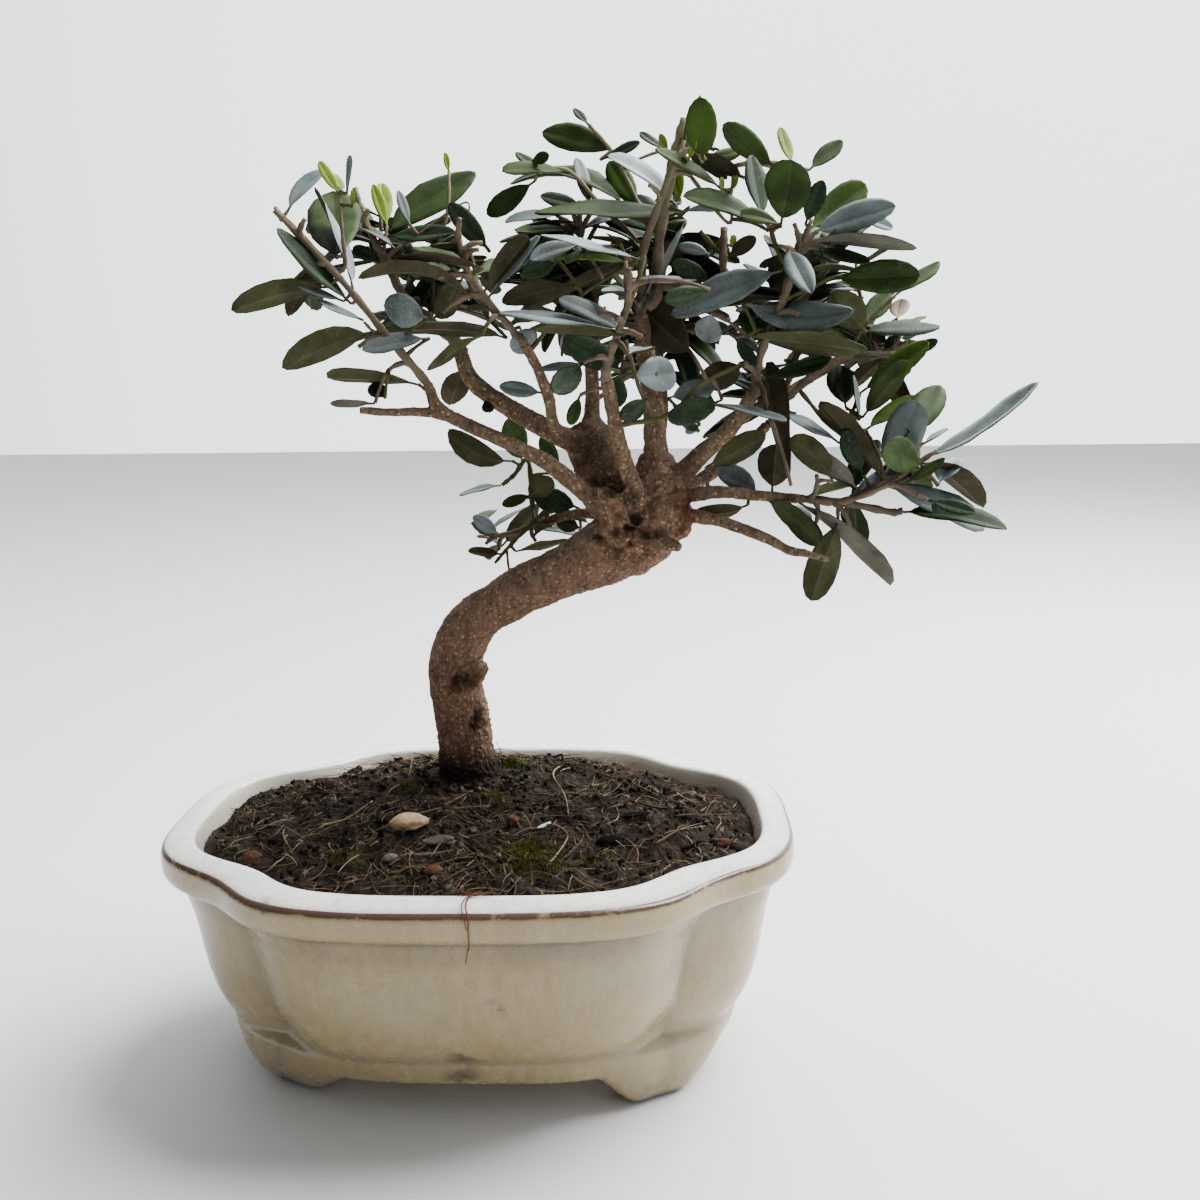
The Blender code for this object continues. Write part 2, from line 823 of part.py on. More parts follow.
def leaves_on(shoot, name, leaf, space, rng, bare, kept):
    """Opposite pairs, each turned a quarter from the last, and one at the tip."""
    total = shoot.length()
    turn = rng.uniform(0, math.tau)
    distance = bare
    while distance < total - 1.0:
        place, heading = shoot.at(distance)
        across = heading.cross(UP if abs(heading.z) < 0.9 else Vector((1, 0, 0))).normalized()
        for half in (0, math.pi):
            outward = Quaternion(heading, turn + half) @ across
            tilt = math.radians(LEAF_ANGLE + rng.uniform(-10, 10))
            way = (heading * math.cos(tilt) + outward * math.sin(tilt) + UP * 0.12).normalized()
            length = leaf * rng.uniform(*LEAF_LENGTHS)
            lean = Vector((rng.uniform(-1, 1), rng.uniform(-1, 0.6), 0)) * LEAF_TILT
            for share in (1.0, LEAF_SHORTENED):
                grown = Leaf(place, way, length * share, lean)
                if space.holds(name, grown.outline()) and not grown.touches(kept):
                    kept.append(grown)
                    break
        turn += math.pi / 2
        distance += LEAF_SPACING
    place, heading = shoot.at(total)
    if shoot.tip_leaf:
        way = (shoot.tip_leaf - place).normalized()
        length = (shoot.tip_leaf - place).length
        way = (way + UP * LEAF_DROOP * 0.25).normalized()
    else:
        way = heading
        length = leaf * 0.7
    grown = Leaf(place - way * LEAF_ROOT, way, length, Vector((0, 0, 0)))
    if space.holds(name, grown.outline()[6:]) and (shoot.tip_leaf or not grown.touches(kept)):
        kept.append(grown)


def side_twigs(stem, name, leaf, space, rng):
    """Short twigs in the axils along the stem, by chance."""
    kept = []
    total = stem.length()
    distance = 16.0
    turn = rng.uniform(0, math.tau)
    while distance < total - 6:
        place, heading = stem.at(distance)
        across = heading.cross(UP if abs(heading.z) < 0.9 else Vector((1, 0, 0))).normalized()
        outward = Quaternion(heading, turn) @ across
        length = rng.uniform(*SIDE_TWIG_LENGTHS)
        wanted = rng.random() < SIDE_TWIG_CHANCE
        way = (heading * 0.7 + outward + UP * 0.35).normalized()
        path = curve_to(place, outward, place + way * length, TWIG_STEPS)
        if wanted and space.holds(name, samples(path)[3:]):
            kept.append(Shoot(path, *SIDE_TWIG_RADII))
        turn += SIDE_TWIG_TURN
        distance += LEAF_SPACING
    return kept


def limb_samples():
    found = []
    for line in (TRUNK, TRUNK_FORK):
        path = smooth_path([place for place, radius in line], 4)
        found += list(zip(path, spread([radius for place, radius in line], 4)))
    for start, end, thick, thin in HEAD_STUBS:
        for share in (0, 0.5, 1):
            found.append((Vector(start).lerp(Vector(end), share), thick))
    for name in BOUGHS:
        path, radii = bough_line(name)
        for i in range(len(path) - 1):
            for share in (0, 0.33, 0.67):
                found.append((path[i].lerp(path[i + 1], share), radii[i]))
        if name.startswith("stub"):
            found.append((path[-1], radii[-1]))
    return found


def shoot_solid(shoot):
    return loft("twig", tube_rings(shoot.path, shoot.radii(), TWIG_SIDES))


def grow_masses():
    """Shoots and leaves of every mass."""
    stems = {name: stem_of(name) for name in MASSES}
    reaching = {}
    skeletons = {}
    for name, (bough, leaf, way, tips) in MASSES.items():
        reaching[name] = [reaching_twig(stems[name], tip, leaf) for tip in tips]
        points = samples(stems[name].path)
        for twig in reaching[name]:
            points += samples(twig.path)
        skeletons[name] = [list(p) for p in points]
    space = Space(skeletons, limb_samples())
    grown = {}
    for number, (name, (bough, leaf, way, tips)) in enumerate(MASSES.items()):
        rng = random.Random(100 + number)
        twigs = [t for t in reaching[name] if space.holds(name, samples(t.path)[2:])]
        if len(twigs) < len(reaching[name]):
            print(name, "drops", len(reaching[name]) - len(twigs), "reaching twigs")
        twigs += side_twigs(stems[name], name, leaf, space, rng)
        leaves = []
        for twig in twigs:
            leaves_on(twig, name, leaf, space, rng, TWIG_BARE, leaves)
        leaves_on(stems[name], name, leaf, space, rng, STEM_BARE, leaves)
        grown[name] = (stems[name], twigs, leaves)
    return grown


def make_mass(name, parts, finish):
    stem, twigs, leaves = parts
    pieces = [shoot_solid(stem)]
    pieces += [shoot_solid(twig) for twig in twigs]
    pieces += [leaf.solid() for leaf in leaves]
    print(name, len(twigs), "twigs", len(leaves), "leaves")
    return union(name, pieces, finish, "MANIFOLD")


def place_plant(parts):
    plant = bpy.data.objects.new("plant", None)
    plant.location = Vector(PLANT_OFFSET) * MM
    bpy.context.scene.collection.objects.link(plant)
    for part in parts:
        part.parent = plant


def main():
    clear_scene()
    glaze = material("cream_glaze", (0.62, 0.57, 0.46), 0.25)
    earth = material("dark_soil", (0.06, 0.045, 0.035), 0.95)
    bark = material("olive_bark", (0.19, 0.14, 0.10), 0.8)
    greens = material("olive_leaf", (0.07, 0.10, 0.05), 0.45)

    parts = [make_pot(glaze), make_soil(earth), union("trunk", trunk_pieces(), bark)]
    cutters = limb_cutters()
    parts += list(cutters.values())
    parts += [make_bough(name, cutters, bark) for name in BOUGHS]
    for name, grown in grow_masses().items():
        parts.append(make_mass(name, grown, greens))
    place_plant(parts)


main()
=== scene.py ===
import math
import random

import bmesh
import bpy
import numpy as np
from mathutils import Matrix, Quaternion, Vector


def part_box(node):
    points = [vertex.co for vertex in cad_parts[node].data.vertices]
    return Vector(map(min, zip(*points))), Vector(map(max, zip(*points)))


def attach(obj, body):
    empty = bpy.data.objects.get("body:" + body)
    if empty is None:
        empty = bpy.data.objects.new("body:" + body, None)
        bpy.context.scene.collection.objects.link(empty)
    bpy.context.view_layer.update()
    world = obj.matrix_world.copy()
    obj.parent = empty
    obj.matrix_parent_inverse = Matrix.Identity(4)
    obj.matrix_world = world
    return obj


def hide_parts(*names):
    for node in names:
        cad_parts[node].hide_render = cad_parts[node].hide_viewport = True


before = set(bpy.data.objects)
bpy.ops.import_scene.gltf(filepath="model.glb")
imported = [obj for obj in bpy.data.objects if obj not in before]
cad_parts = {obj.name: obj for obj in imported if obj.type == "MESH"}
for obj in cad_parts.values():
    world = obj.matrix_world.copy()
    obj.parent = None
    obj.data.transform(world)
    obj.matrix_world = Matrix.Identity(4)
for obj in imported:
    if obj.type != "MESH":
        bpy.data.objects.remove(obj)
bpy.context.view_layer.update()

# Everything below is in millimetres from the middle of the pot's base; toWorld moves it into the frame.
mm = 0.001
up = Vector((0, 0, 1))
potLow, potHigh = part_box("pot")
plantMiddle = Vector(((potLow.x + potHigh.x) / 2, (potLow.y + potHigh.y) / 2, 0))


def toWorld(point):
    return plantMiddle + Vector(point) * mm


# points is an n by 3 array in mm, faces a list of index lists or an array of quads or triangles
def addMesh(name, points, faces, materials=(), tones=None, smooth=True):
    mesh = bpy.data.meshes.new(name)
    points = np.asarray(points, float) * mm + np.array(plantMiddle)
    if isinstance(faces, np.ndarray):
        sides = faces.shape[1]
        mesh.vertices.add(len(points))
        mesh.vertices.foreach_set("co", points.ravel())
        mesh.loops.add(faces.size)
        mesh.loops.foreach_set("vertex_index", faces.ravel())
        mesh.polygons.add(len(faces))
        mesh.polygons.foreach_set("loop_start", np.arange(len(faces)) * sides)
        mesh.polygons.foreach_set("loop_total", np.full(len(faces), sides))
        mesh.update(calc_edges=True)
    else:
        mesh.from_pydata([tuple(p) for p in points], [], faces)
    for item in materials:
        mesh.materials.append(item)
    if tones is not None:
        mesh.polygons.foreach_set("material_index", np.asarray(tones, np.int32))
    mesh.polygons.foreach_set("use_smooth", np.full(len(mesh.polygons), smooth))
    mesh.validate()
    piece = bpy.data.objects.new(name, mesh)
    bpy.context.scene.collection.objects.link(piece)
    return piece


def addMask(piece, name, values):
    layer = piece.data.attributes.new(name, "FLOAT", "POINT")
    layer.data.foreach_set("value", np.asarray(values, np.float32))


# quads of a grid whose rows run round; closed joins the last column to the first
def gridFaces(rows, columns, closed):
    across = columns if closed else columns - 1
    i, j = np.meshgrid(np.arange(rows - 1), np.arange(across), indexing="ij")
    nextJ = (j + 1) % columns
    quads = np.stack(
        [i * columns + j, i * columns + nextJ, (i + 1) * columns + nextJ, (i + 1) * columns + j], -1
    )
    return quads.reshape(-1, 4)


# Catmull-Rom curve through rows of numbers
def smoothSteps(knots, count):
    knots = np.asarray(knots, float)
    padded = np.vstack([2 * knots[0] - knots[1], knots, 2 * knots[-1] - knots[-2]])
    spans = len(knots) - 1
    t = np.linspace(0, spans, count)
    k = np.minimum(t.astype(int), spans - 1)
    f = (t - k)[:, None]
    a, b, c, d = padded[k], padded[k + 1], padded[k + 2], padded[k + 3]
    return 0.5 * (2 * b + (c - a) * f + (2 * a - 5 * b + 4 * c - d) * f**2 + (3 * b - a - 3 * c + d) * f**3)


hashPrimes = {"axes": (73856093, 19349663, 83492791), "seed": 2654435761, "stir": 1274126177}


def hashOf(cells, seed):
    mixed = seed * hashPrimes["seed"]
    for axis, prime in enumerate(hashPrimes["axes"]):
        mixed = mixed ^ (cells[..., axis] * prime)
    mixed = (mixed ^ (mixed >> 13)) * hashPrimes["stir"]
    return ((mixed ^ (mixed >> 16)) & 0xFFFF) / 65535.0


# smooth noise from 0 to 1 whose bumps are about size mm
def lumps(points, size, seed=0):
    scaled = np.asarray(points, float) / size + 1000.0
    cell = np.floor(scaled).astype(np.int64)
    part = scaled - cell
    part = part * part * (3 - 2 * part)
    total = 0.0
    for dx in (0, 1):
        for dy in (0, 1):
            for dz in (0, 1):
                weight = (
                    np.where(dx, part[..., 0], 1 - part[..., 0])
                    * np.where(dy, part[..., 1], 1 - part[..., 1])
                    * np.where(dz, part[..., 2], 1 - part[..., 2])
                )
                total = total + weight * hashOf(cell + np.array([dx, dy, dz]), seed)
    return total


# distance in mm to the nearest of points scattered one to a cell of that size, and that cell's own number
def pips(points, size, seed=0):
    scaled = np.asarray(points, float) / size + 1000.0
    cell = np.floor(scaled).astype(np.int64)
    best = np.full(len(scaled), 9.0)
    own = np.zeros(len(scaled))
    for dx in (-1, 0, 1):
        for dy in (-1, 0, 1):
            for dz in (-1, 0, 1):
                other = cell + np.array([dx, dy, dz])
                spot = other + np.stack([hashOf(other, seed + k) for k in (1, 2, 3)], -1)
                away = np.linalg.norm(scaled - spot, axis=1)
                nearer = away < best
                best = np.where(nearer, away, best)
                own = np.where(nearer, hashOf(other, seed + 4), own)
    return best * size, own


# 1 at the middle, falling off evenly on both sides
def belt(values, middle, width):
    return np.exp(-(((values - middle) / width) ** 2))


# heading and two cross directions at each station, carried along without twist
def pathFrames(path):
    path = [Vector(p) for p in path]
    headings = []
    for i in range(len(path)):
        headings.append((path[min(i + 1, len(path) - 1)] - path[max(i - 1, 0)]).normalized())
    across = headings[0].cross(Vector((0, 1, 0.2))).normalized()
    found = []
    for i, heading in enumerate(headings):
        if i:
            across = headings[i - 1].rotation_difference(heading) @ across
        found.append((heading, across, heading.cross(across)))
    return found


# points and quads of a tube with closed ends
def tubeMesh(path, radii, sides):
    angles = np.arange(sides) * math.tau / sides
    rings = []
    for centre, radius, (_, across, over) in zip(path, radii, pathFrames(path)):
        ring = np.cos(angles)[:, None] * np.array(across) + np.sin(angles)[:, None] * np.array(over)
        rings.append(np.array(centre) + radius * ring)
    points = np.concatenate(rings)
    faces = gridFaces(len(rings), sides, True).tolist()
    first = len(points)
    points = np.vstack([points, np.array(path[0]), np.array(path[-1])])
    low = (len(rings) - 1) * sides
    for k in range(sides):
        j = (k + 1) % sides
        faces.append([first, j, k])
        faces.append([first + 1, low + k, low + j])
    return points, faces


# points and faces of many small things, joined into one piece
class Gathered:
    def __init__(self):
        self.points, self.faces, self.tones, self.count = [], [], [], 0

    def add(self, points, faces, tone=0):
        self.points.append(np.asarray(points, float))
        self.faces += [[index + self.count for index in face] for face in faces]
        self.tones += [tone] * len(faces) if isinstance(tone, int) else list(tone)
        self.count += len(points)

    def piece(self, name, materials, smooth=True):
        return addMesh(name, np.concatenate(self.points), self.faces, materials, self.tones, smooth)


def newMaterial(name, colour, roughness, coat=0.0, sheen=0.0, gloss=0.5):
    made = bpy.data.materials.new(name)
    made.use_nodes = True
    surface = made.node_tree.nodes["Principled BSDF"]
    surface.inputs["Base Color"].default_value = (*colour, 1)
    surface.inputs["Roughness"].default_value = roughness
    surface.inputs["Coat Weight"].default_value = coat
    surface.inputs["Coat Roughness"].default_value = 0.12
    surface.inputs["Specular IOR Level"].default_value = gloss
    surface.inputs["Sheen Weight"].default_value = sheen
    return made


def shade(colour, share):
    return tuple(c * share for c in colour)


# short calls for building one material's node tree
class Nodes:
    def __init__(self, made):
        self.tree = made.node_tree
        self.surface = self.tree.nodes["Principled BSDF"]
        self.place = self.tree.nodes.new("ShaderNodeTexCoord").outputs["Object"]

    def put(self, socket, value):
        if isinstance(value, bpy.types.NodeSocket):
            self.tree.links.new(value, socket)
        else:
            socket.default_value = value

    def stretched(self, stretch):
        if not stretch:
            return self.place
        node = self.tree.nodes.new("ShaderNodeVectorMath")
        node.operation = "MULTIPLY"
        self.put(node.inputs[0], self.place)
        node.inputs[1].default_value = stretch
        return node.outputs[0]

    def noise(self, scale, detail=4.0, roughness=0.6, distortion=0.0, stretch=None):
        node = self.tree.nodes.new("ShaderNodeTexNoise")
        self.put(node.inputs["Vector"], self.stretched(stretch))
        node.inputs["Scale"].default_value = scale
        node.inputs["Detail"].default_value = detail
        node.inputs["Roughness"].default_value = roughness
        node.inputs["Distortion"].default_value = distortion
        return node.outputs["Fac"]

    def cells(self, scale, feature="F1", stretch=None):
        node = self.tree.nodes.new("ShaderNodeTexVoronoi")
        node.feature = feature
        self.put(node.inputs["Vector"], self.stretched(stretch))
        node.inputs["Scale"].default_value = scale
        return node.outputs["Distance"]

    def high(self):
        node = self.tree.nodes.new("ShaderNodeSeparateXYZ")
        self.put(node.inputs[0], self.place)
        return node.outputs["Z"]

    def mask(self, name):
        node = self.tree.nodes.new("ShaderNodeAttribute")
        node.attribute_name = name
        return node.outputs["Fac"]

    def remap(self, value, low, high, newLow=0.0, newHigh=1.0):
        node = self.tree.nodes.new("ShaderNodeMapRange")
        self.put(node.inputs["Value"], value)
        for socket, number in zip(("From Min", "From Max", "To Min", "To Max"), (low, high, newLow, newHigh)):
            node.inputs[socket].default_value = number
        return node.outputs["Result"]

    def reckon(self, kind, a, b):
        node = self.tree.nodes.new("ShaderNodeMath")
        node.operation = kind
        self.put(node.inputs[0], a)
        self.put(node.inputs[1], b)
        return node.outputs[0]

    def times(self, a, b):
        return self.reckon("MULTIPLY", a, b)

    def plus(self, a, b):
        return self.reckon("ADD", a, b)

    def mix(self, share, a, b, kind="MIX"):
        node = self.tree.nodes.new("ShaderNodeMix")
        node.data_type = "RGBA"
        node.blend_type = kind
        self.put(node.inputs["Factor"], share)
        self.put(node.inputs["A"], (*a, 1) if isinstance(a, tuple) else a)
        self.put(node.inputs["B"], (*b, 1) if isinstance(b, tuple) else b)
        return node.outputs["Result"]

    def bump(self, height, depth, strength=1.0):
        node = self.tree.nodes.new("ShaderNodeBump")
        self.put(node.inputs["Height"], height)
        node.inputs["Distance"].default_value = depth
        node.inputs["Strength"].default_value = strength
        self.put(self.surface.inputs["Normal"], node.outputs["Normal"])

    def colour(self, value):
        self.put(self.surface.inputs["Base Color"], value)

    def rough(self, value):
        self.put(self.surface.inputs["Roughness"], value)


# The camera and the pot's plan are rounded results of one fit to the pot's outline as it shows in the view
view = {
    "distance": 500.0,
    "aimAcross": 48.8,
    "aimHeight": 186.2,
    "elevation": 0.201,
    "turn": 0.026,
    "roll": 0.012,
    "lens": 37.8,
}


focal = view["lens"] / 36 * 1200
backward = Vector((0, -math.cos(view["elevation"]), math.sin(view["elevation"])))
viewTurn = Quaternion(up, view["turn"])
eyePlace = viewTurn @ (Vector((view["aimAcross"], 0, view["aimHeight"])) + backward * view["distance"])
eyeFacing = (viewTurn @ backward).to_track_quat("Z", "Y") @ Quaternion((0, 0, 1), -view["roll"])
eyeAxes = eyeFacing.to_matrix()


def makeCamera():
    camera = bpy.data.objects.new("camera", bpy.data.cameras.new("camera"))
    camera.data.lens = view["lens"]
    camera.data.clip_start = 0.01
    camera.location = toWorld(eyePlace)
    camera.rotation_mode = "QUATERNION"
    camera.rotation_quaternion = eyeFacing
    bpy.context.scene.collection.objects.link(camera)
    bpy.context.scene.camera = camera


studio = {
    "dim": 0.16,
    "aboveSide": (0.40, 0.26, 0.88),
    "above": 0.5,
    "behind": 2.6,
    "brightSide": (0.44, 0.90, 0.0),
    "skyColour": (0.95, 0.975, 1.0),
    "over": 105.0,
    "fill": 4.0,
    "floor": (0.72, 0.72, 0.72),
}


def softLight(name, place, aim, size, watts, colour=(1, 1, 1)):
    lamp = bpy.data.lights.new(name, "AREA")
    lamp.shape = "DISK"
    lamp.size = size
    lamp.energy = watts
    lamp.color = colour
    holder = bpy.data.objects.new(name, lamp)
    holder.location = place
    holder.rotation_euler = (Vector(place) - Vector(aim)).to_track_quat("Z", "Y").to_euler()
    bpy.context.scene.collection.objects.link(holder)


# a soft sky, brightest overhead and behind the plant to the right
def makeSky():
    world = bpy.data.worlds.new("studio")
    world.use_nodes = True
    tree = world.node_tree
    ambient = tree.nodes["Background"]
    ambient.inputs["Color"].default_value = (*studio["skyColour"], 1)
    place = tree.nodes.new("ShaderNodeTexCoord")
    total = None
    for toward, low, high, gain in (
        (studio["aboveSide"], -0.05, 1.0, studio["above"]),
        (studio["brightSide"], 0.0, 0.85, studio["behind"]),
    ):
        share = tree.nodes.new("ShaderNodeVectorMath")
        share.operation = "DOT_PRODUCT"
        share.inputs[1].default_value = toward
        tree.links.new(place.outputs["Generated"], share.inputs[0])
        ramp = tree.nodes.new("ShaderNodeMapRange")
        ramp.interpolation_type = "SMOOTHSTEP"
        tree.links.new(share.outputs["Value"], ramp.inputs["Value"])
        for socket, number in zip(("From Min", "From Max", "To Min", "To Max"), (low, high, 0.0, gain)):
            ramp.inputs[socket].default_value = number
        gathered = tree.nodes.new("ShaderNodeMath")
        tree.links.new(ramp.outputs["Result"], gathered.inputs[0])
        gathered.inputs[1].default_value = studio["dim"]
        if total:
            tree.links.new(total, gathered.inputs[1])
        total = gathered.outputs[0]
    tree.links.new(total, ambient.inputs["Strength"])
    bpy.context.scene.world = world


def makeStudio():
    makeSky()
    aim = (0, 0, 0.2)
    softLight("overLight", (0.75, 0.42, 1.42), aim, 1.4, studio["over"])
    softLight("fillLight", (1.25, -1.3, 0.5), aim, 1.2, studio["fill"])
    reach = 3000
    floor = addMesh(
        "floor",
        [(-reach, -reach, 0), (reach, -reach, 0), (reach, reach, 0), (-reach, reach, 0)],
        [[0, 1, 2, 3]],
    )
    floor.data.materials.append(newMaterial("paleFloor", studio["floor"], 0.9))


pot = {
    "halfLength": 125.0,
    "halfWidth": 95.5,
    "squareness": 2.78,
    "notchDepth": 10.8,
    "notchAngle": 0.607,
    "notchSpread": 0.217,
    "foldDepth": 2.6,
    "foldSpread": 0.06,
    "height": 98.9,
    "sideTaper": 1.25,
    "skirtBottom": 14.6,
    "columns": 560,
}
# Wall from the skirt's lower edge to the rim's inner edge: inset from the rim, height, and the share of the
# notch that shows
wallKnots = [
    (27.5, 14.6, 0.55), (25.2, 14.9, 0.55), (23.4, 17.0, 0.55), (22.2, 20.5, 0.6), (21.6, 23.5, 0.7),
    (21.4, 25.6, 0.8),
    (20.2, 27.8, 0.95), (18.2, 31.0, 1.0), (16.2, 35.5, 1.0), (14.4, 41.0, 1.0), (12.9, 48.0, 1.0),
    (11.7, 56.0, 1.0),
    (10.6, 64.0, 1.0), (9.2, 71.5, 1.0), (7.6, 77.5, 1.0), (6.5, 82.0, 1.0), (5.6, 84.4, 1.0),
    (4.2, 85.3, 1.0),
    (2.2, 85.8, 1.0), (0.7, 87.2, 1.0), (-0.2, 90.0, 1.0), (-0.2, 94.0, 1.0), (0.1, 96.0, 1.0),
    (0.7, 97.1, 1.0),
    (1.8, 97.8, 1.0), (4.0, 98.3, 1.0), (8.0, 98.8, 1.0), (10.6, 98.7, 1.0), (11.9, 98.0, 1.0),
    (12.7, 96.4, 1.0),
    (13.6, 93.0, 1.0), (15.5, 84.0, 1.0), (18.0, 70.0, 1.0),
]
foot = {
    "height": 14.6, "top": 25.0, "halfAngle": 0.075, "fade": 0.24, "proud": 5.2, "drawIn": (0.5, 0.0),
    "frontLeftIn": (-3.0, 9.0),
}


def planRadius(angles, inset, notch):
    along = np.abs(np.cos(angles)) / (pot["halfLength"] - inset)
    across = np.abs(np.sin(angles)) / (pot["halfWidth"] - inset * pot["sideTaper"])
    power = pot["squareness"]
    radius = (along**power + across**power) ** (-1 / power)
    fromAxis = np.arctan2(np.abs(np.sin(angles)), np.abs(np.cos(angles)))
    dent = np.exp(-(((fromAxis - pot["notchAngle"]) / pot["notchSpread"]) ** 2))
    return radius - pot["notchDepth"] * notch * dent


# how much of a foot stands at each angle, and how far its sole is drawn in along and across
def footShare(angles):
    fromAxis = np.arctan2(np.abs(np.sin(angles)), np.abs(np.cos(angles)))
    away = (np.abs(fromAxis - pot["notchAngle"]) - foot["halfAngle"]) / foot["fade"]
    away = np.clip(away, 0, 1)
    frontLeft = (np.cos(angles) < 0) & (np.sin(angles) < 0)
    inward = np.where(frontLeft[:, None], foot["frontLeftIn"], foot["drawIn"])
    inward = -inward * np.stack([np.sign(np.cos(angles)), np.sign(np.sin(angles))], -1)
    return 1 - away * away * (3 - 2 * away), inward


# Underside from the middle of the recess out to the skirt: inset, height, share drawn down to a foot's sole
underRings = ((60, 20, 0), (34.5, 20, 0), (33.5, 18.5, 0.3), (32.0, 15.0, 0.95), (29.5, 14.6, 1.0))
# Middle and width in mm of the bands where the glaze colour changes; the lip and crease bands carry painted
# shade
potBelts = {
    "rimInset": (0.8, 0.95),
    "rimHeight": (97.0, 1.15),
    "underLipShadow": (84.0, 2.2),
    "belowLipShadow": (79.0, 6.5),
    "creaseShade": (26.4, 2.4),
}


def potRing(angles, radius, drawn, heights):
    return np.stack(
        [radius * np.cos(angles) + drawn[:, 0], radius * np.sin(angles) + drawn[:, 1], heights], -1
    )


def makePot(glaze):
    angles = np.arange(pot["columns"]) * math.tau / pot["columns"]
    profile = smoothSteps(wallKnots, 190)
    share, inward = footShare(angles)
    rows = []
    fromAxis = np.arctan2(np.abs(np.sin(angles)), np.abs(np.cos(angles)))
    fold = np.exp(-np.abs(fromAxis - pot["notchAngle"]) / pot["foldSpread"])
    for inset, height, notch in profile:
        bodyShare = np.clip((height - 24) / 8, 0, 1) * np.clip((84 - height) / 10, 0, 1) * (inset < 22)
        radius = planRadius(angles, inset, notch) - pot["foldDepth"] * bodyShare * fold
        low = np.clip((foot["top"] - height) / (foot["top"] - pot["skirtBottom"]), 0, 1) ** 1.3
        proud = np.clip((31.0 - height) / 12.0, 0, 1)
        radius = radius + share * proud * foot["proud"] * (1 - 0.8 * low)
        drawn = inward * (share * low**1.3)[:, None]
        sunk = height / pot["skirtBottom"] if height < pot["skirtBottom"] else 1
        heights = height - share * low * foot["height"] * sunk
        rows.append(potRing(angles, radius, drawn, np.maximum(heights, 0)))
    under = []
    for inset, height, toSole in underRings:
        radius = planRadius(angles, inset, 0.55) - share * toSole * 1.5
        heights = height - share * toSole * height
        drawn = inward * (share * toSole)[:, None]
        under.append(potRing(angles, radius, drawn, heights))
    points = np.concatenate(under + rows)
    # hand-made glaze: slow swells and a faint ripple
    flat = points.copy()
    swell = (lumps(flat, 34, 3) - 0.5) * 0.9 + (lumps(flat, 9, 4) - 0.5) * 0.22
    outward = points.copy()
    outward[:, 2] = 0
    outward /= np.maximum(np.linalg.norm(outward, axis=1), 1)[:, None]
    points[:, :2] += (outward * swell[:, None])[:, :2]
    count = len(under) + len(rows)
    faces = gridFaces(count, pot["columns"], True).tolist()
    faces.append(list(reversed(range(pot["columns"]))))  # closes the recess under the pot
    piece = addMesh("potBody", points, faces, [glaze])
    inset = np.repeat(np.r_[np.full(len(under), 30.0), profile[:, 0]], pot["columns"])
    height = np.repeat(np.r_[np.full(len(under), 15.0), profile[:, 1]], pot["columns"])
    inside = np.repeat(
        np.r_[np.zeros(len(under)), np.arange(len(profile)) / len(profile) > 0.74], pot["columns"]
    )
    rimEdge = belt(inset, *potBelts["rimInset"]) * belt(height, *potBelts["rimHeight"]) * (1 - inside)
    # painted shadow under the lip's overhang, with some glaze pooled along the lip's edge
    lipPoolAndShadow = (belt(height, *potBelts["underLipShadow"]) + 0.6 * belt(height, *potBelts["belowLipShadow"])) * (
        1 - inside
    )
    # painted shade along the crease above the feet
    creaseShade = belt(height, *potBelts["creaseShade"]) * (1 - inside)
    # painted light: the rim's top is painted near white for the light falling on it from above
    litRimTop = np.clip((height - 97.5) / 1.0, 0, 1) * np.clip((inset - 1.0) / 1.5, 0, 1)
    sole = np.clip((3.0 - points[:, 2]) / 3.0, 0, 1)
    body = np.clip((85.0 - height) / 2.0, 0, 1) * (1 - inside)
    # painted shade in the notch folds of the body
    foldShade = np.tile(fold, len(under) + len(profile)) * body
    masks = {
        "rimEdge": rimEdge, "lipPoolAndShadow": lipPoolAndShadow, "creaseShade": creaseShade, "litRimTop": litRimTop,
        "sole": sole, "body": body, "innerWallLit": inside, "fold": foldShade,
    }
    for name, values in masks.items():
        addMask(piece, name, values)
    stains = np.zeros(len(points))
    for place, size in potStains:
        away = np.linalg.norm((points - np.array(place)) * np.array([0.75, 0.4, 1.2]), axis=1)
        away += lumps(points, 2.2, 9) * size * 0.7
        stains = np.maximum(stains, np.clip(1.5 - away / size, 0, 1))
    addMask(piece, "stain", stains)
    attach(piece, "root")
    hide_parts("pot")
    return piece


potStains = [
    ((-2, -71, 30), 5.0), ((-3, -70, 20.5), 6.2), ((66, -48, 8), 4.0), ((56, -66, 17), 1.6),
    ((37, -72, 45), 1.3), ((11, -78, 58), 2.2),
    ((14, -78, 55), 1.6), ((-66, -85, 96.5), 2.6), ((-70, -79, 97), 1.6), ((-78, -70, 88), 1.2),
    ((26, -69, 33), 1.0), ((-36, -69, 22), 1.4),
    ((62, -70, 66), 0.9), ((48, -84, 97), 0.9),
]


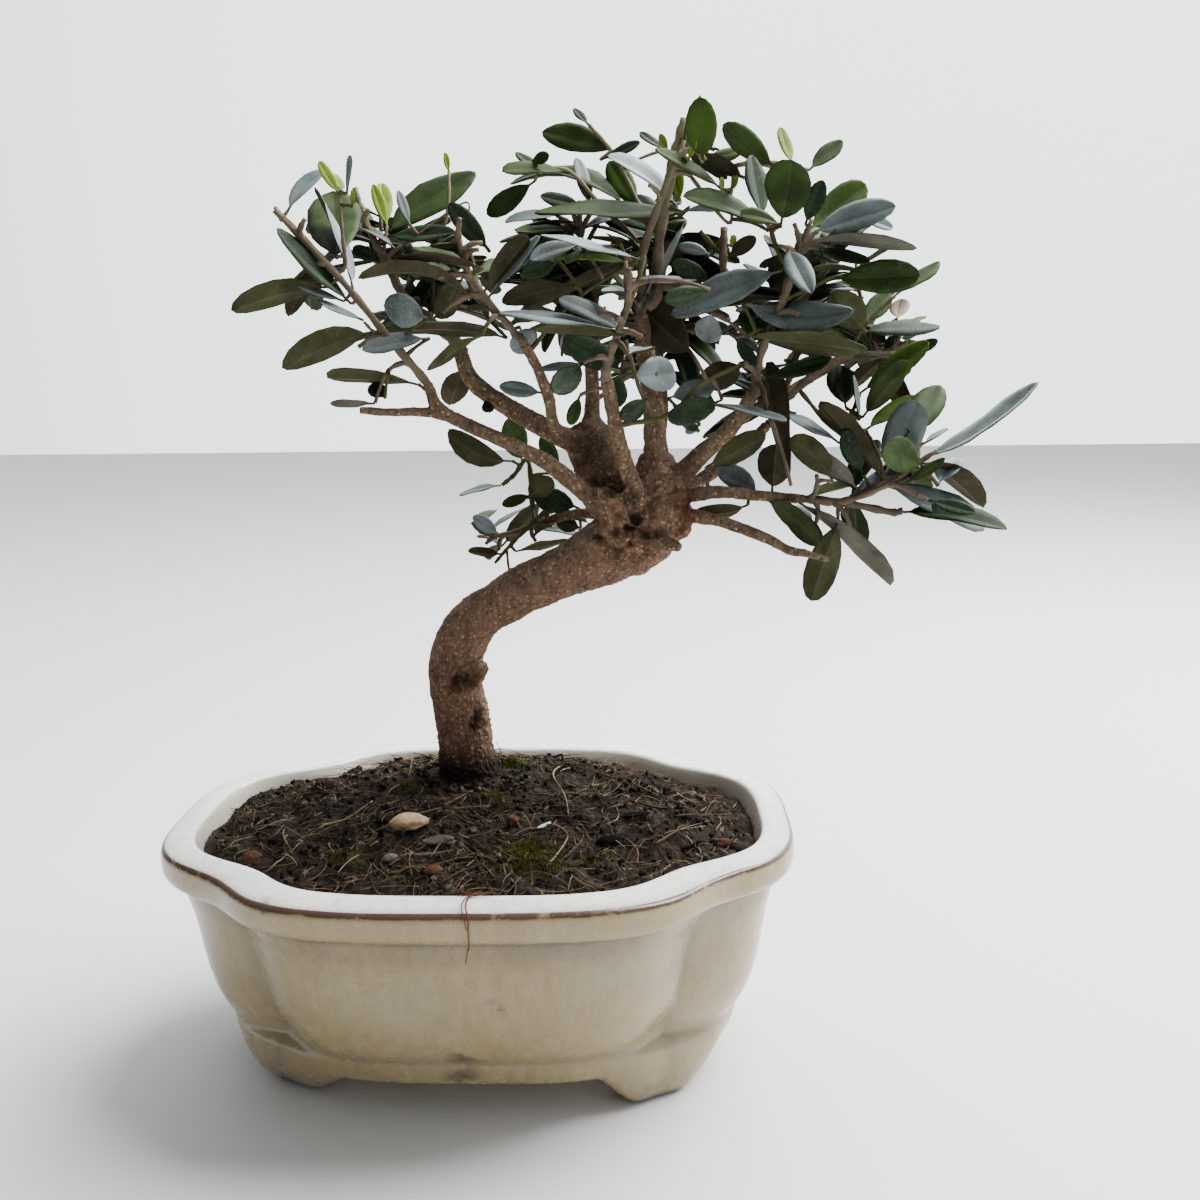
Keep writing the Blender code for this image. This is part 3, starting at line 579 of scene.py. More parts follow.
def creamGlaze():
    made = newMaterial("creamGlaze", (0.37, 0.325, 0.225), 0.25, coat=0.3)
    n = Nodes(made)
    streak = n.noise(330, 4, 0.65, stretch=(1, 1, 0.22))
    fleck = n.remap(n.noise(900, 3, 0.7), 0.56, 0.72)
    speck = n.remap(n.cells(520), 0.02, 0.16, 1, 0)
    base = n.mix(n.remap(n.noise(14, 3, 0.5), 0.3, 0.7), (0.268, 0.202, 0.092), (0.338, 0.262, 0.128))
    base = n.mix(
        n.times(n.times(n.mask("body"), n.remap(streak, 0.5, 0.7)), 0.34), base, (0.17, 0.125, 0.065)
    )
    base = n.mix(n.times(n.remap(streak, 0.5, 0.3), 0.25), base, (0.48, 0.42, 0.28))
    base = n.mix(n.remap(n.noise(1500, 3, 0.7), 0.5, 0.68, 0, 0.35), base, (0.19, 0.145, 0.085))
    base = n.mix(n.times(fleck, 0.4), base, (0.17, 0.135, 0.09))
    base = n.mix(n.times(speck, n.remap(n.noise(60, 2), 0.5, 0.75, 0, 0.5)), base, (0.12, 0.09, 0.06))
    green = n.times(n.mask("body"), n.remap(n.noise(24, 3), 0.52, 0.72, 0, 0.35))
    base = n.mix(green, base, (0.25, 0.25, 0.17))
    # pooled glaze and painted shadow under the lip
    pooledAndShadow = n.times(n.mask("lipPoolAndShadow"), n.remap(n.noise(45, 3), 0.3, 0.65, 0.45, 0.95))
    base = n.mix(pooledAndShadow, base, (0.10, 0.075, 0.045))
    # painted shade in the crease above the feet
    base = n.mix(n.times(n.mask("creaseShade"), 0.6), base, (0.20, 0.165, 0.11))
    # painted shade in the notch folds (the mask named fold)
    base = n.mix(n.times(n.mask("fold"), 0.45), base, (0.15, 0.125, 0.08))
    # painted light: the inner wall is painted pale so it stays bright in its own shade
    base = n.mix(n.times(n.mask("innerWallLit"), 0.8), base, (0.62, 0.60, 0.53))
    # painted light: near white, mottled rim top standing in for the light from above
    base = n.mix(
        n.mask("litRimTop"),
        base,
        n.mix(n.remap(n.noise(330, 5, 0.7), 0.45, 0.72), (0.93, 0.925, 0.90), (0.60, 0.58, 0.53)),
    )
    broken = n.times(n.mask("rimEdge"), n.remap(n.noise(110, 4, 0.7), 0.32, 0.55, 0.35, 1.8))
    base = n.mix(n.remap(broken, 0.15, 0.7), base, (0.07, 0.034, 0.02))
    base = n.mix(n.mask("sole"), base, (0.09, 0.08, 0.08))
    base = n.mix(n.times(n.mask("stain"), 0.88), base, (0.055, 0.038, 0.026))
    n.colour(base)
    n.rough(n.remap(n.noise(120, 3), 0.3, 0.7, 0.18, 0.36))
    n.bump(n.plus(n.noise(260, 4), n.times(fleck, -0.6)), 0.0004, 0.35)
    return made


soil = {
    "edge": 91.0,
    "crown": 101.7,
    "domePower": 0.8,
    "seat": (-10.0, 38.0),
    "seatRadius": 17.0,
    "stemRadius": 9.0,
    "moundHeight": 1.5,
    "moundSpacing": 26.0,
    "furrowHeight": 0.9,
    "furrowSpacing": 23.0,
    "rings": 96,
    "columns": 420,
    "innerInset": 14.8,
}
stemSeat = np.array([soil["seat"][0], soil["seat"][1]])


# the soil's top under a place, a share of the way from the trunk to the wall, before its crumbs
def soilHeight(across, along, share):
    dome = np.cos(np.clip(share, 0, 1) * math.pi / 2) ** soil["domePower"]
    turn = math.tau / soil["moundSpacing"]
    mounds = soil["moundHeight"] * np.sin(turn * across + 1.1) * np.sin(turn * along + 0.6)
    mounds = mounds + soil["furrowHeight"] * np.sin(
        math.tau * (across - along) / (soil["furrowSpacing"] * math.sqrt(2)) + 2.0
    )
    place = np.stack([across, along, np.zeros_like(across)], -1)
    rough = (lumps(place, 8, 12) - 0.5) * 2.0 + (lumps(place, 2.8, 13) - 0.5) * 1.8
    domed = soil["edge"] + (soil["crown"] - soil["edge"]) * dome
    return domed + mounds * np.minimum(share / 0.3, 1) + rough * np.clip(share / 0.1, 0, 1)


# place on the soil at a share of the way from the trunk to the wall
def soilSpot(angle, share):
    radius = planRadius(np.array([angle]), soil["innerInset"], 1.0)[0] - 1.5
    rim = np.array([radius * math.cos(angle), radius * math.sin(angle)])
    seat = stemSeat + soil["seatRadius"] * np.array([math.cos(angle), math.sin(angle)])
    spot = seat + (rim - seat) * share
    height = soilHeight(np.array([spot[0]]), np.array([spot[1]]), np.array([share]))[0]
    return Vector((spot[0], spot[1], height))


def makeSoil(earth):
    angles = np.arange(soil["columns"]) * math.tau / soil["columns"]
    radius = planRadius(angles, soil["innerInset"], 1.0)
    rim = np.stack([radius * np.cos(angles), radius * np.sin(angles)], -1)
    seat = stemSeat + soil["seatRadius"] * np.stack([np.cos(angles), np.sin(angles)], -1)
    rings = []
    for share in np.linspace(1, 0, soil["rings"]):
        spot = seat + (rim - seat) * share
        height = soilHeight(spot[:, 0], spot[:, 1], np.full(len(spot), share))
        rings.append(np.stack([spot[:, 0], spot[:, 1], height], -1))
    inner = rings[-1].copy()
    inner[:, :2] = stemSeat + (inner[:, :2] - stemSeat) * soil["stemRadius"] / soil["seatRadius"]
    rings.append(inner)
    low = rings[0].copy()
    low[:, 2] = 70.0
    points = np.concatenate([low] + rings)
    grain = (lumps(points, 1.7, 14) - 0.5) * 1.3
    points[:, 2] += grain * (points[:, 2] > 75)
    piece = addMesh(
        "soilBed", points, gridFaces(len(rings) + 1, soil["columns"], True), [earth], smooth=False
    )
    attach(piece, "root")
    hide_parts("soil")
    return piece


crumbs = {"count": 5600, "small": 0.4, "large": 1.9, "seed": 5}
# Single things on the soil: place, size across, size upright, which earth, how far turned. Most of these places,
# the cushions' and some fibres' ends came from the same helper as the limbs' places.
soilFinds = {
    "palePebble": ((-26.7, -26.2), (15.0, 8.6), 6.4, 3, 0.25),
    "whiteChip": ((26.1, -19.3), (8.6, 2.0), 1.2, 4, 0.95),
    "brownNut": ((-84.3, -40.9), (6.4, 5.8), 5.6, 5, 0.2),
    "redPebble": ((97.0, -25.4), (7.4, 4.6), 4.0, 5, 0.1),
    "redCrumb": ((13.9, -20.2), (5.0, 4.4), 4.4, 5, 0.6),
    "greyLump": ((-12.5, -37.9), (13.0, 5.6), 3.2, 2, 0.15),
    "greyClod": ((-30.0, -47.0), (7.0, 5.0), 3.6, 2, 0.9),
    "woodyLitter": ((-79.4, -4.6), (13.0, 4.0), 1.0, 2, 0.7),
    "barkFlake": ((62.0, -8.0), (12.0, 3.6), 1.4, 1, 0.35),
    "darkClod": ((52.0, -30.0), (9.0, 6.6), 4.2, 1, 0.5),
    "reddishClod": ((-12.0, -56.0), (7.0, 6.0), 4.0, 5, 0.5),
}
mosses = {
    "front": ((22.1, -45.1), 13.0, 1700),
    "frontLeft": ((-47.6, -44.4), 8.0, 420),
    "byTrunk": ((8.0, 50.0), 9.0, 700),
    "left": ((-34.0, 22.0), 10.0, 260),
    "right": ((44.0, -48.0), 6.0, 160),
    "middle": ((6.0, 4.0), 12.0, 320),
}


def roundStone(rng, across, high, turn, rough):
    base = bmesh.new()
    bmesh.ops.create_icosphere(base, subdivisions=3, radius=1)
    points = np.array([v.co[:] for v in base.verts])
    faces = [[v.index for v in f.verts] for f in base.faces]
    base.free()
    start = rng.uniform(0, 100)
    points = points * (1 + (lumps(points * 2 + start, 1.3, 31) - 0.5)[:, None] * rough)
    points = points * np.array([across[0], across[1], high]) * 0.5
    spin = np.array(Quaternion(up, turn).to_matrix())
    return points @ spin.T, faces


# loose clods and the single finds lying on the soil
def makeCrumbs(earths):
    rng = random.Random(crumbs["seed"])
    gathered = Gathered()
    base = bmesh.new()
    bmesh.ops.create_icosphere(base, subdivisions=1, radius=1)
    ball = np.array([v.co[:] for v in base.verts])
    ballFaces = [[v.index for v in f.verts] for f in base.faces]
    base.free()
    for _ in range(crumbs["count"]):
        angle = rng.uniform(0, math.tau)
        share = math.sqrt(rng.uniform(0.0, 1.0)) if rng.random() > 0.09 else rng.uniform(0, 0.1)
        spot = soilSpot(angle, min(share, 0.985))
        size = crumbs["small"] + (crumbs["large"] - crumbs["small"]) * rng.random() ** 4
        shape = ball * np.array([rng.uniform(0.6, 1.4), rng.uniform(0.6, 1.4), rng.uniform(0.4, 0.9)])
        shape = shape * (0.62 + 0.66 * np.array([rng.random() for _ in ball])[:, None])
        turned = np.array(Quaternion((rng.random(), rng.random(), rng.random(), 1)).normalized().to_matrix())
        gathered.add(
            shape @ turned.T * size + np.array(spot + up * size * 0.2),
            ballFaces,
            rng.choice((0, 0, 0, 1, 1, 1, 2)),
        )
    for place, across, high, tone, turn in soilFinds.values():
        points, faces = roundStone(rng, across, high, turn, 0.1 if tone == 4 else 0.45)
        spot = Vector((place[0], place[1], 0))
        spot.z = soilTop(spot) + high * 0.45
        gathered.add(points + np.array(spot), faces, tone)
    return rideOn(gathered.piece("soilCrumbs", earths, smooth=False), "soil", "soil")


# cushions of moss, each of many short blades
def makeMoss(materials):
    rng = random.Random(41)
    gathered = Gathered()
    for (across, along), reach, count in mosses.values():
        for _ in range(count):
            angle, out = rng.uniform(0, math.tau), reach * rng.random() ** 0.8
            spot = Vector((across + out * math.cos(angle) * 1.2, along + out * math.sin(angle), 0))
            if not insideWall(spot, 17) or (Vector((spot.x, spot.y)) - Vector(soil["seat"])).length < 13.5:
                continue
            spot.z = soilTop(spot) - 0.2
            tall = rng.uniform(0.9, 2.3) * (1.25 - out / reach * 0.6)
            lean = Vector((rng.uniform(-0.7, 0.7), rng.uniform(-0.7, 0.7), 1)).normalized()
            wide = lean.cross(Vector((math.cos(angle), math.sin(angle), 0.3))).normalized() * rng.uniform(
                0.22, 0.42
            )
            deep = lean.cross(wide).normalized() * 0.16
            foot = [spot - wide, spot + deep, spot + wide, spot - deep]
            gathered.add(
                [list(p) for p in foot + [spot + lean * tall]],
                [[0, 1, 4], [1, 2, 4], [2, 3, 4], [3, 0, 4], [3, 2, 1, 0]],
                rng.choice((0, 0, 1)),
            )
    return rideOn(gathered.piece("soilMoss", materials, smooth=False), "soil")


def rideOn(piece, slot, *nodes):
    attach(piece, "root")
    if nodes:
        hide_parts(*nodes)
    return piece


threads = {"count": 3000, "shortest": 5.0, "longest": 22.0, "thin": 0.11, "thick": 0.36, "seed": 8}
# Single fibres that stand out: places on the soil that they pass, thickness, which fibre
longFibres = [
    ([(38.8, 72.0), (30.0, 50.0), (27.0, 28.0), (33.0, 6.0), (35.6, -11.1)], 0.42, 0),
    ([(-28.0, -58.0), (-14.0, -52.0), (-2.0, -46.0), (12.0, -50.0)], 0.7, 1),
    ([(-64.0, -18.0), (-55.0, -10.0), (-46.0, 2.0)], 0.6, 0),
    ([(-15.1, -8.0), (-12.0, 4.0), (-6.0, 12.0)], 0.75, 1),
    ([(60.0, 10.0), (72.0, 4.0), (84.0, 8.0)], 0.5, 1),
    ([(44.0, 40.0), (60.0, 30.0), (70.0, 18.0), (84.0, 14.0)], 0.5, 1),
    ([(30.0, -50.0), (36.0, -30.0), (30.0, -22.0)], 0.4, 0),
    ([(-96.0, 6.0), (-84.0, 18.0), (-66.0, 24.0)], 0.5, 2),
    ([(70.0, -34.0), (80.0, -20.0), (92.0, -8.0)], 0.45, 1),
    ([(-52.0, 44.0), (-40.0, 50.0), (-30.0, 62.0)], 0.55, 1),
]
# Root hair that hangs over the front of the rim: places and thickness
rimRoots = [
    (
        [
            (9, -76, 96.5), (7.5, -81, 99.4), (4.6, -86, 99.8), (4.4, -92, 99.3), (5.6, -96.2, 97.2),
            (5.6, -96.6, 91.5), (5.4, -94.6, 85.2), (4.2, -89.5, 82.0), (3.0, -87.6, 76.0),
        ],
        0.34,
    ),
    ([(-2, -77, 97), (1.5, -80.5, 99.4), (6.5, -83.5, 99.6), (11.5, -81, 99.5), (13.5, -77, 97)], 0.4),
    ([(8.4, -79.4, 99.3), (4.6, -84, 99.7), (2.8, -90, 99.5), (4.0, -95.9, 97.5), (5.0, -96.5, 93.0)], 0.26),
]


def fibrePath(places, lift):
    knots = []
    for across, along in places:
        spot = Vector((across, along, 0))
        spot.z = soilTop(spot) + lift
        knots.append(tuple(spot))
    path = [Vector(p) for p in smoothSteps(knots, 8 * (len(knots) - 1) + 1)]
    for spot in path:
        spot.z = max(spot.z, soilTop(spot) + lift * 0.6)
    return path


# root fibres and dry stalks, lying on the soil or standing a little out of it
def makeThreads(materials):
    rng = random.Random(threads["seed"])
    gathered = Gathered()
    for places, thick, tone in longFibres:
        path = fibrePath(places, 0.9)
        points, faces = tubeMesh(path, [thick * (1 - 0.4 * k / len(path)) for k in range(len(path))], 5)
        gathered.add(points, faces, tone)
    for places, thick in rimRoots:
        path = [Vector(p) for p in smoothSteps(places, 7 * (len(places) - 1) + 1)]
        points, faces = tubeMesh(path, [thick * (1 - 0.5 * k / len(path)) for k in range(len(path))], 5)
        gathered.add(points, faces, 3)
    for _ in range(threads["count"]):
        angle = rng.uniform(0, math.tau)
        share = math.sqrt(rng.uniform(0.01, 0.97))
        spot = soilSpot(angle, share)
        length = threads["shortest"] + (threads["longest"] - threads["shortest"]) * rng.random() ** 2
        heading = rng.uniform(0, math.tau)
        curl = rng.uniform(-0.16, 0.16)
        standing = rng.random() < 0.10
        rise = rng.uniform(0.15, 0.8) if standing else rng.uniform(-0.02, 0.12)
        steps = 7
        here = Vector(spot) + up * 0.2
        path = [here.copy()]
        for k in range(steps):
            heading += curl + rng.uniform(-0.12, 0.12)
            step = length / steps
            here = here + Vector((math.cos(heading), math.sin(heading), rise)) * step
            rise -= 0.16 if standing else 0.02
            if not insideWall(here, 16.5):
                break
            if not standing or here.z < spot.z:
                here.z = max(here.z, soilTop(here) + 0.25)
            path.append(here.copy())
        if len(path) < 4:
            continue
        thick = threads["thin"] + (threads["thick"] - threads["thin"]) * rng.random() ** 2
        radii = [thick * (1 - 0.55 * k / len(path)) for k in range(len(path))]
        points, faces = tubeMesh(path, radii, 4)
        gathered.add(points, faces, rng.choice((0, 0, 1, 1, 1, 2, 2, 2)))
    return rideOn(gathered.piece("soilThreads", materials), "bark")


def insideWall(place, inset):
    angle = math.atan2(place.y, place.x)
    return math.hypot(place.x, place.y) < planRadius(np.array([angle]), inset, 1.0)[0]


# height of the soil under any place
def soilTop(place):
    offset = np.array([place.x, place.y]) - stemSeat
    angle = math.atan2(offset[1], offset[0])
    seat = stemSeat + soil["seatRadius"] * np.array([math.cos(angle), math.sin(angle)])
    around = math.atan2(place.y, place.x)
    rim = planRadius(np.array([around]), soil["innerInset"], 1.0)[0]
    reach = math.hypot(place.x, place.y) / rim
    inner = math.hypot(place.x - seat[0], place.y - seat[1])
    outer = max(rim - math.hypot(place.x, place.y), 0.0)
    share = inner / max(inner + outer, 1e-6) if reach < 1 else 1.0
    return soilHeight(np.array([place.x]), np.array([place.y]), np.array([share]))[0]


# The places of the trunk, boughs and masses are in mm. A helper worked most of them out from where each shows to
# the camera and how deep it was taken to lie, and they match the part's source; others were set by hand.
trunk = {
    "line": [
        ((-10, 38, 97), 15.5), ((-10, 38, 102), 14.2), ((-11, 37, 111), 12.0), ((-13, 35, 130), 11.2),
        ((-14.5, 33, 145), 11.0),
        ((-13, 31, 157), 10.7), ((-8, 28.5, 168), 10.2), ((1, 26, 177), 9.9), ((20, 20.5, 188), 9.9),
        ((36, 16.5, 196), 10.6),
        ((51, 12.5, 204), 13.3), ((64, 10, 213), 16.2), ((70, 8, 225), 14.4), ((71, 7, 236), 9.6),
        ((71, 6, 243), 6.4),
    ],
    "fork": [((60, 11, 220), 12.0), ((52, 17, 234), 11.0), ((46, 22, 246), 10.8), ((42, 24, 254), 7.0)],
    "stump": [((57, 0, 212), 7.4), ((55.5, -4, 221), 6.6), ((54, -8, 231), 6.0)],
    "snag": [((67, -3, 211.5), 4.4), ((73.5, -8, 210.6), 3.0), ((80, -12.5, 209.3), 1.7)],
    "voxel": 0.62,
}
# Lumps joined on: place, radius, squash upright
knobs = {
    "woundLip": ((-6.6, 26, 150.5), 5.6, 1.1),
    "woundTop": ((-12, 27.5, 153), 6.8, 0.8),
    "forkKnob": ((46, 15, 236), 7.2, 1.0),
    "headLump": ((57, 0, 207), 5.4, 1.0),
    "headCheek": ((76, 6, 219), 9.5, 1.3),
    "chin": ((62, 4, 203), 9.0, 0.8),
    "brow": ((62, -1, 222), 5.2, 1.2),
    "burl": ((64, -4, 216), 4.0, 1.0),
    "cheekBurl": ((78, -1, 224), 5.0, 1.2),
    "stumpFoot": ((55, -3, 214), 6.2, 1.0),
    "forkBack": ((52, 20, 226), 10.5, 1.1),
}
boughs = {
    "bough_left_low": (
        "trunk",
        4.0,
        2.1,
        [(57, 6, 214), (47, -2, 226), (34, -7, 238), (23, -12, 246), (-7, -18, 261), (-13, -20, 271)],
    ),
    "stub_left_low": (
        "bough_left_low", 1.9, 1.5, [(-5, -17.5, 260), (-16, -20.5, 262), (-26, -22, 262), (-38, -24, 263)]
    ),
    "bough_left_upper": (
        "trunk",
        4.6,
        3.0,
        [(46, 21, 246), (35, 19, 249), (19, 16, 258), (5, 14, 267), (-2, 14, 274), (-5, 14, 283)],
    ),
    "bough_left_inner": (
        "trunk", 2.6, 1.8, [(43, 18, 248), (33, -2, 254), (31, -12, 265), (27, -18, 278), (23, -22, 286)]
    ),
    "bough_top_left": ("trunk", 3.6, 2.8, [(45, 22, 248), (46, 25, 262), (46, 26, 278)]),
    "bough_leader": (
        "trunk", 5.0, 3.0, [(71, 7, 228), (71, 4, 245), (70, 4, 264), (67, 4, 284), (66, 4, 295)]
    ),
    "bough_front": (
        "trunk", 4.2, 2.4, [(66, 2, 222), (61, -9, 235), (58, -14, 245), (55, -22, 261), (53, -28, 273)]
    ),
    "bough_right": ("trunk", 4.2, 2.6, [(76, 5, 230), (88, 0, 243), (100, -8, 255), (107, -13, 267)]),
    "bough_right_upper": (
        "bough_right", 2.2, 1.8, [(101, -9, 256.5), (112, -5, 263), (121, -2, 267), (138, 6, 276)]
    ),
    "bough_right_low": (
        "trunk", 3.0, 1.9, [(72, 9, 224), (87, 2, 228), (98, -2, 229), (110, -5, 228), (126, -8, 227)]
    ),
    "stub_right_low": (
        "trunk",
        3.0,
        1.2,
        [
            (70, 6, 218), (79, 0, 220), (94, -8, 219), (111, -14, 213.5), (121, -16.5, 208.5),
            (127, -18, 207.5), (136, -19, 205),
        ],
    ),
    "bough_back": ("trunk", 4.0, 2.6, [(68, 12, 224), (71, 30, 238), (74, 42, 256), (74, 48, 274)]),
    "bough_back_right": ("trunk", 3.4, 2.2, [(72, 10, 220), (88, 24, 230), (106, 34, 240), (118, 40, 252)]),
    "bough_back_low": ("trunk", 2.8, 1.9, [(58, 14, 212), (48, 34, 216), (34, 46, 214), (22, 52, 210)]),
}
# Marks on the bark: place, size, depth (inward is negative), darkness, redness. Some places came from the
# helper that gave the limbs' places; the rest were set by hand.
# The darkness column holds both dark bark and painted shade: marks of no depth paint the shade inside the forks,
# and deep holes are painted near black
barkMarks = [
    ((-2.6, 24, 138.0), 1.3, -1.6, 0.9, 0.0),
    ((-3.2, 24, 135.0), 1.7, -2.4, 1.0, 0.0),
    ((-4.0, 24.5, 132.0), 2.1, -2.8, 1.0, 0.0),
    ((-4.6, 24.5, 129.0), 2.5, -2.8, 1.0, 0.0),
    ((-6.0, 24.5, 126.0), 2.3, -2.0, 1.0, 0.1),
    ((-2.2, 25, 126.0), 2.1, -1.6, 0.9, 0.1),
    ((-12.0, 22, 138.0), 1.4, 0.8, 0.0, 0.2),
    ((-15.5, 23, 134.0), 1.3, 0.7, 0.0, 0.1),
    ((54.4, -9, 225.2), 1.8, -1.3, 0.5, 1.0),
    ((51.6, -6, 219.4), 1.4, -1.2, 0.8, 0.9),
    ((51.6, -6, 219.4), 2.8, 0.8, 0.0, 0.6),
    ((57.0, -7, 221.0), 2.2, -1.6, 0.9, 0.2),
    ((55.5, -7, 214.5), 2.4, -1.4, 0.8, 0.3),
    ((60.5, -5, 210), 1.6, -2.2, 0.8, 0.9),
    ((60.5, -5, 210), 3.0, 0.7, 0.0, 0.8),
    ((56.5, -4, 206.5), 3.0, 1.0, 0.55, 0.1),
    ((63.2, -6, 219.7), 2.4, -2.6, 0.9, 0.1),
    ((60.5, -6, 216), 2.0, -2.2, 0.95, 0.0),
    ((66.0, -6, 222), 1.6, -1.4, 0.6, 0.1),
    ((70.0, -5, 226), 2.0, -1.2, 0.5, 0.2),
    ((72.0, -4, 214), 2.2, -1.0, 0.4, 0.2),
    ((62, -5, 213), 1.8, 1.2, 0.4, 0.2),
    ((84.3, 0, 218), 5.0, 0.6, 0.25, 0.75),
    ((83, -2, 225), 4.0, -0.8, 0.45, 0.7),
    ((86, 2, 212), 3.0, 0.8, 0.3, 0.6),
    ((54, -9, 232.5), 3.6, -3.0, 0.25, 0.3),
    ((47, 10, 232), 3.0, -1.4, 0.8, 0.0),
    ((52, 8, 228), 3.0, -1.6, 0.9, 0.0),
    ((44, 12, 240), 2.4, -1.0, 0.7, 0.0),
    ((45, 12, 246), 9.0, 0.0, 0.6, 0.0),
    ((40, 14, 238), 5.0, 0.0, 0.6, 0.0),
    ((84, -1, 237), 6.0, 0.0, 0.5, 0.1),
    ((60, -6, 228), 4.0, -1.2, 0.6, 0.0),
    ((66, -8, 214), 3.0, -1.6, 0.6, 0.1),
    ((73, -8, 219), 3.2, 0.9, 0.0, 0.2),
    ((69, -8, 223), 2.6, -1.6, 0.6, 0.1),
    ((50, -3, 212), 2.6, -1.2, 0.6, 0.1),
]
# Healed wound low on the trunk: an eye of raised bark round a hollow
wound = {
    "middle": (-10.8, 148.0), "halfAcross": 8.0, "halfHigh": 4.9, "slope": 0.34, "behind": 31.0, "rim": 1.7,
    "hollow": 3.0,
}
# Ragged bark: centre, reach
ragged = [((60, 0, 214), 13.0), ((82, 0, 219), 9.0), ((52, 8, 230), 10.0), ((68, -2, 226), 9.0)]


def limbLine(name):
    _, thick, thin, way = boughs[name]
    path = [Vector(p) for p in smoothSteps(way, 8 * (len(way) - 1) + 1)]
    last = len(path) - 1
    return path, [thick + (thin - thick) * i / last for i in range(last + 1)]


def roundLine(stations, perSpan=8):
    rows = smoothSteps([(*place, radius) for place, radius in stations], perSpan * (len(stations) - 1) + 1)
    return [Vector(row[:3]) for row in rows], [float(row[3]) for row in rows]


# every limb as stations with radii, for clearance and for the depth of the bark
def limbStations():
    lines = [roundLine(trunk[part]) for part in ("line", "fork", "stump", "snag")]
    return lines + [limbLine(name) for name in boughs]


def knobMesh(place, radius, squash):
    base = bmesh.new()
    bmesh.ops.create_icosphere(base, subdivisions=3, radius=1)
    points = np.array([v.co[:] for v in base.verts])
    faces = [[v.index for v in f.verts] for f in base.faces]
    base.free()
    points = points * (1 + (lumps(points * radius + np.array(place), 5, 21) - 0.5)[:, None] * 0.3)
    return points * radius * np.array([1, 1, squash]) + np.array(place), faces


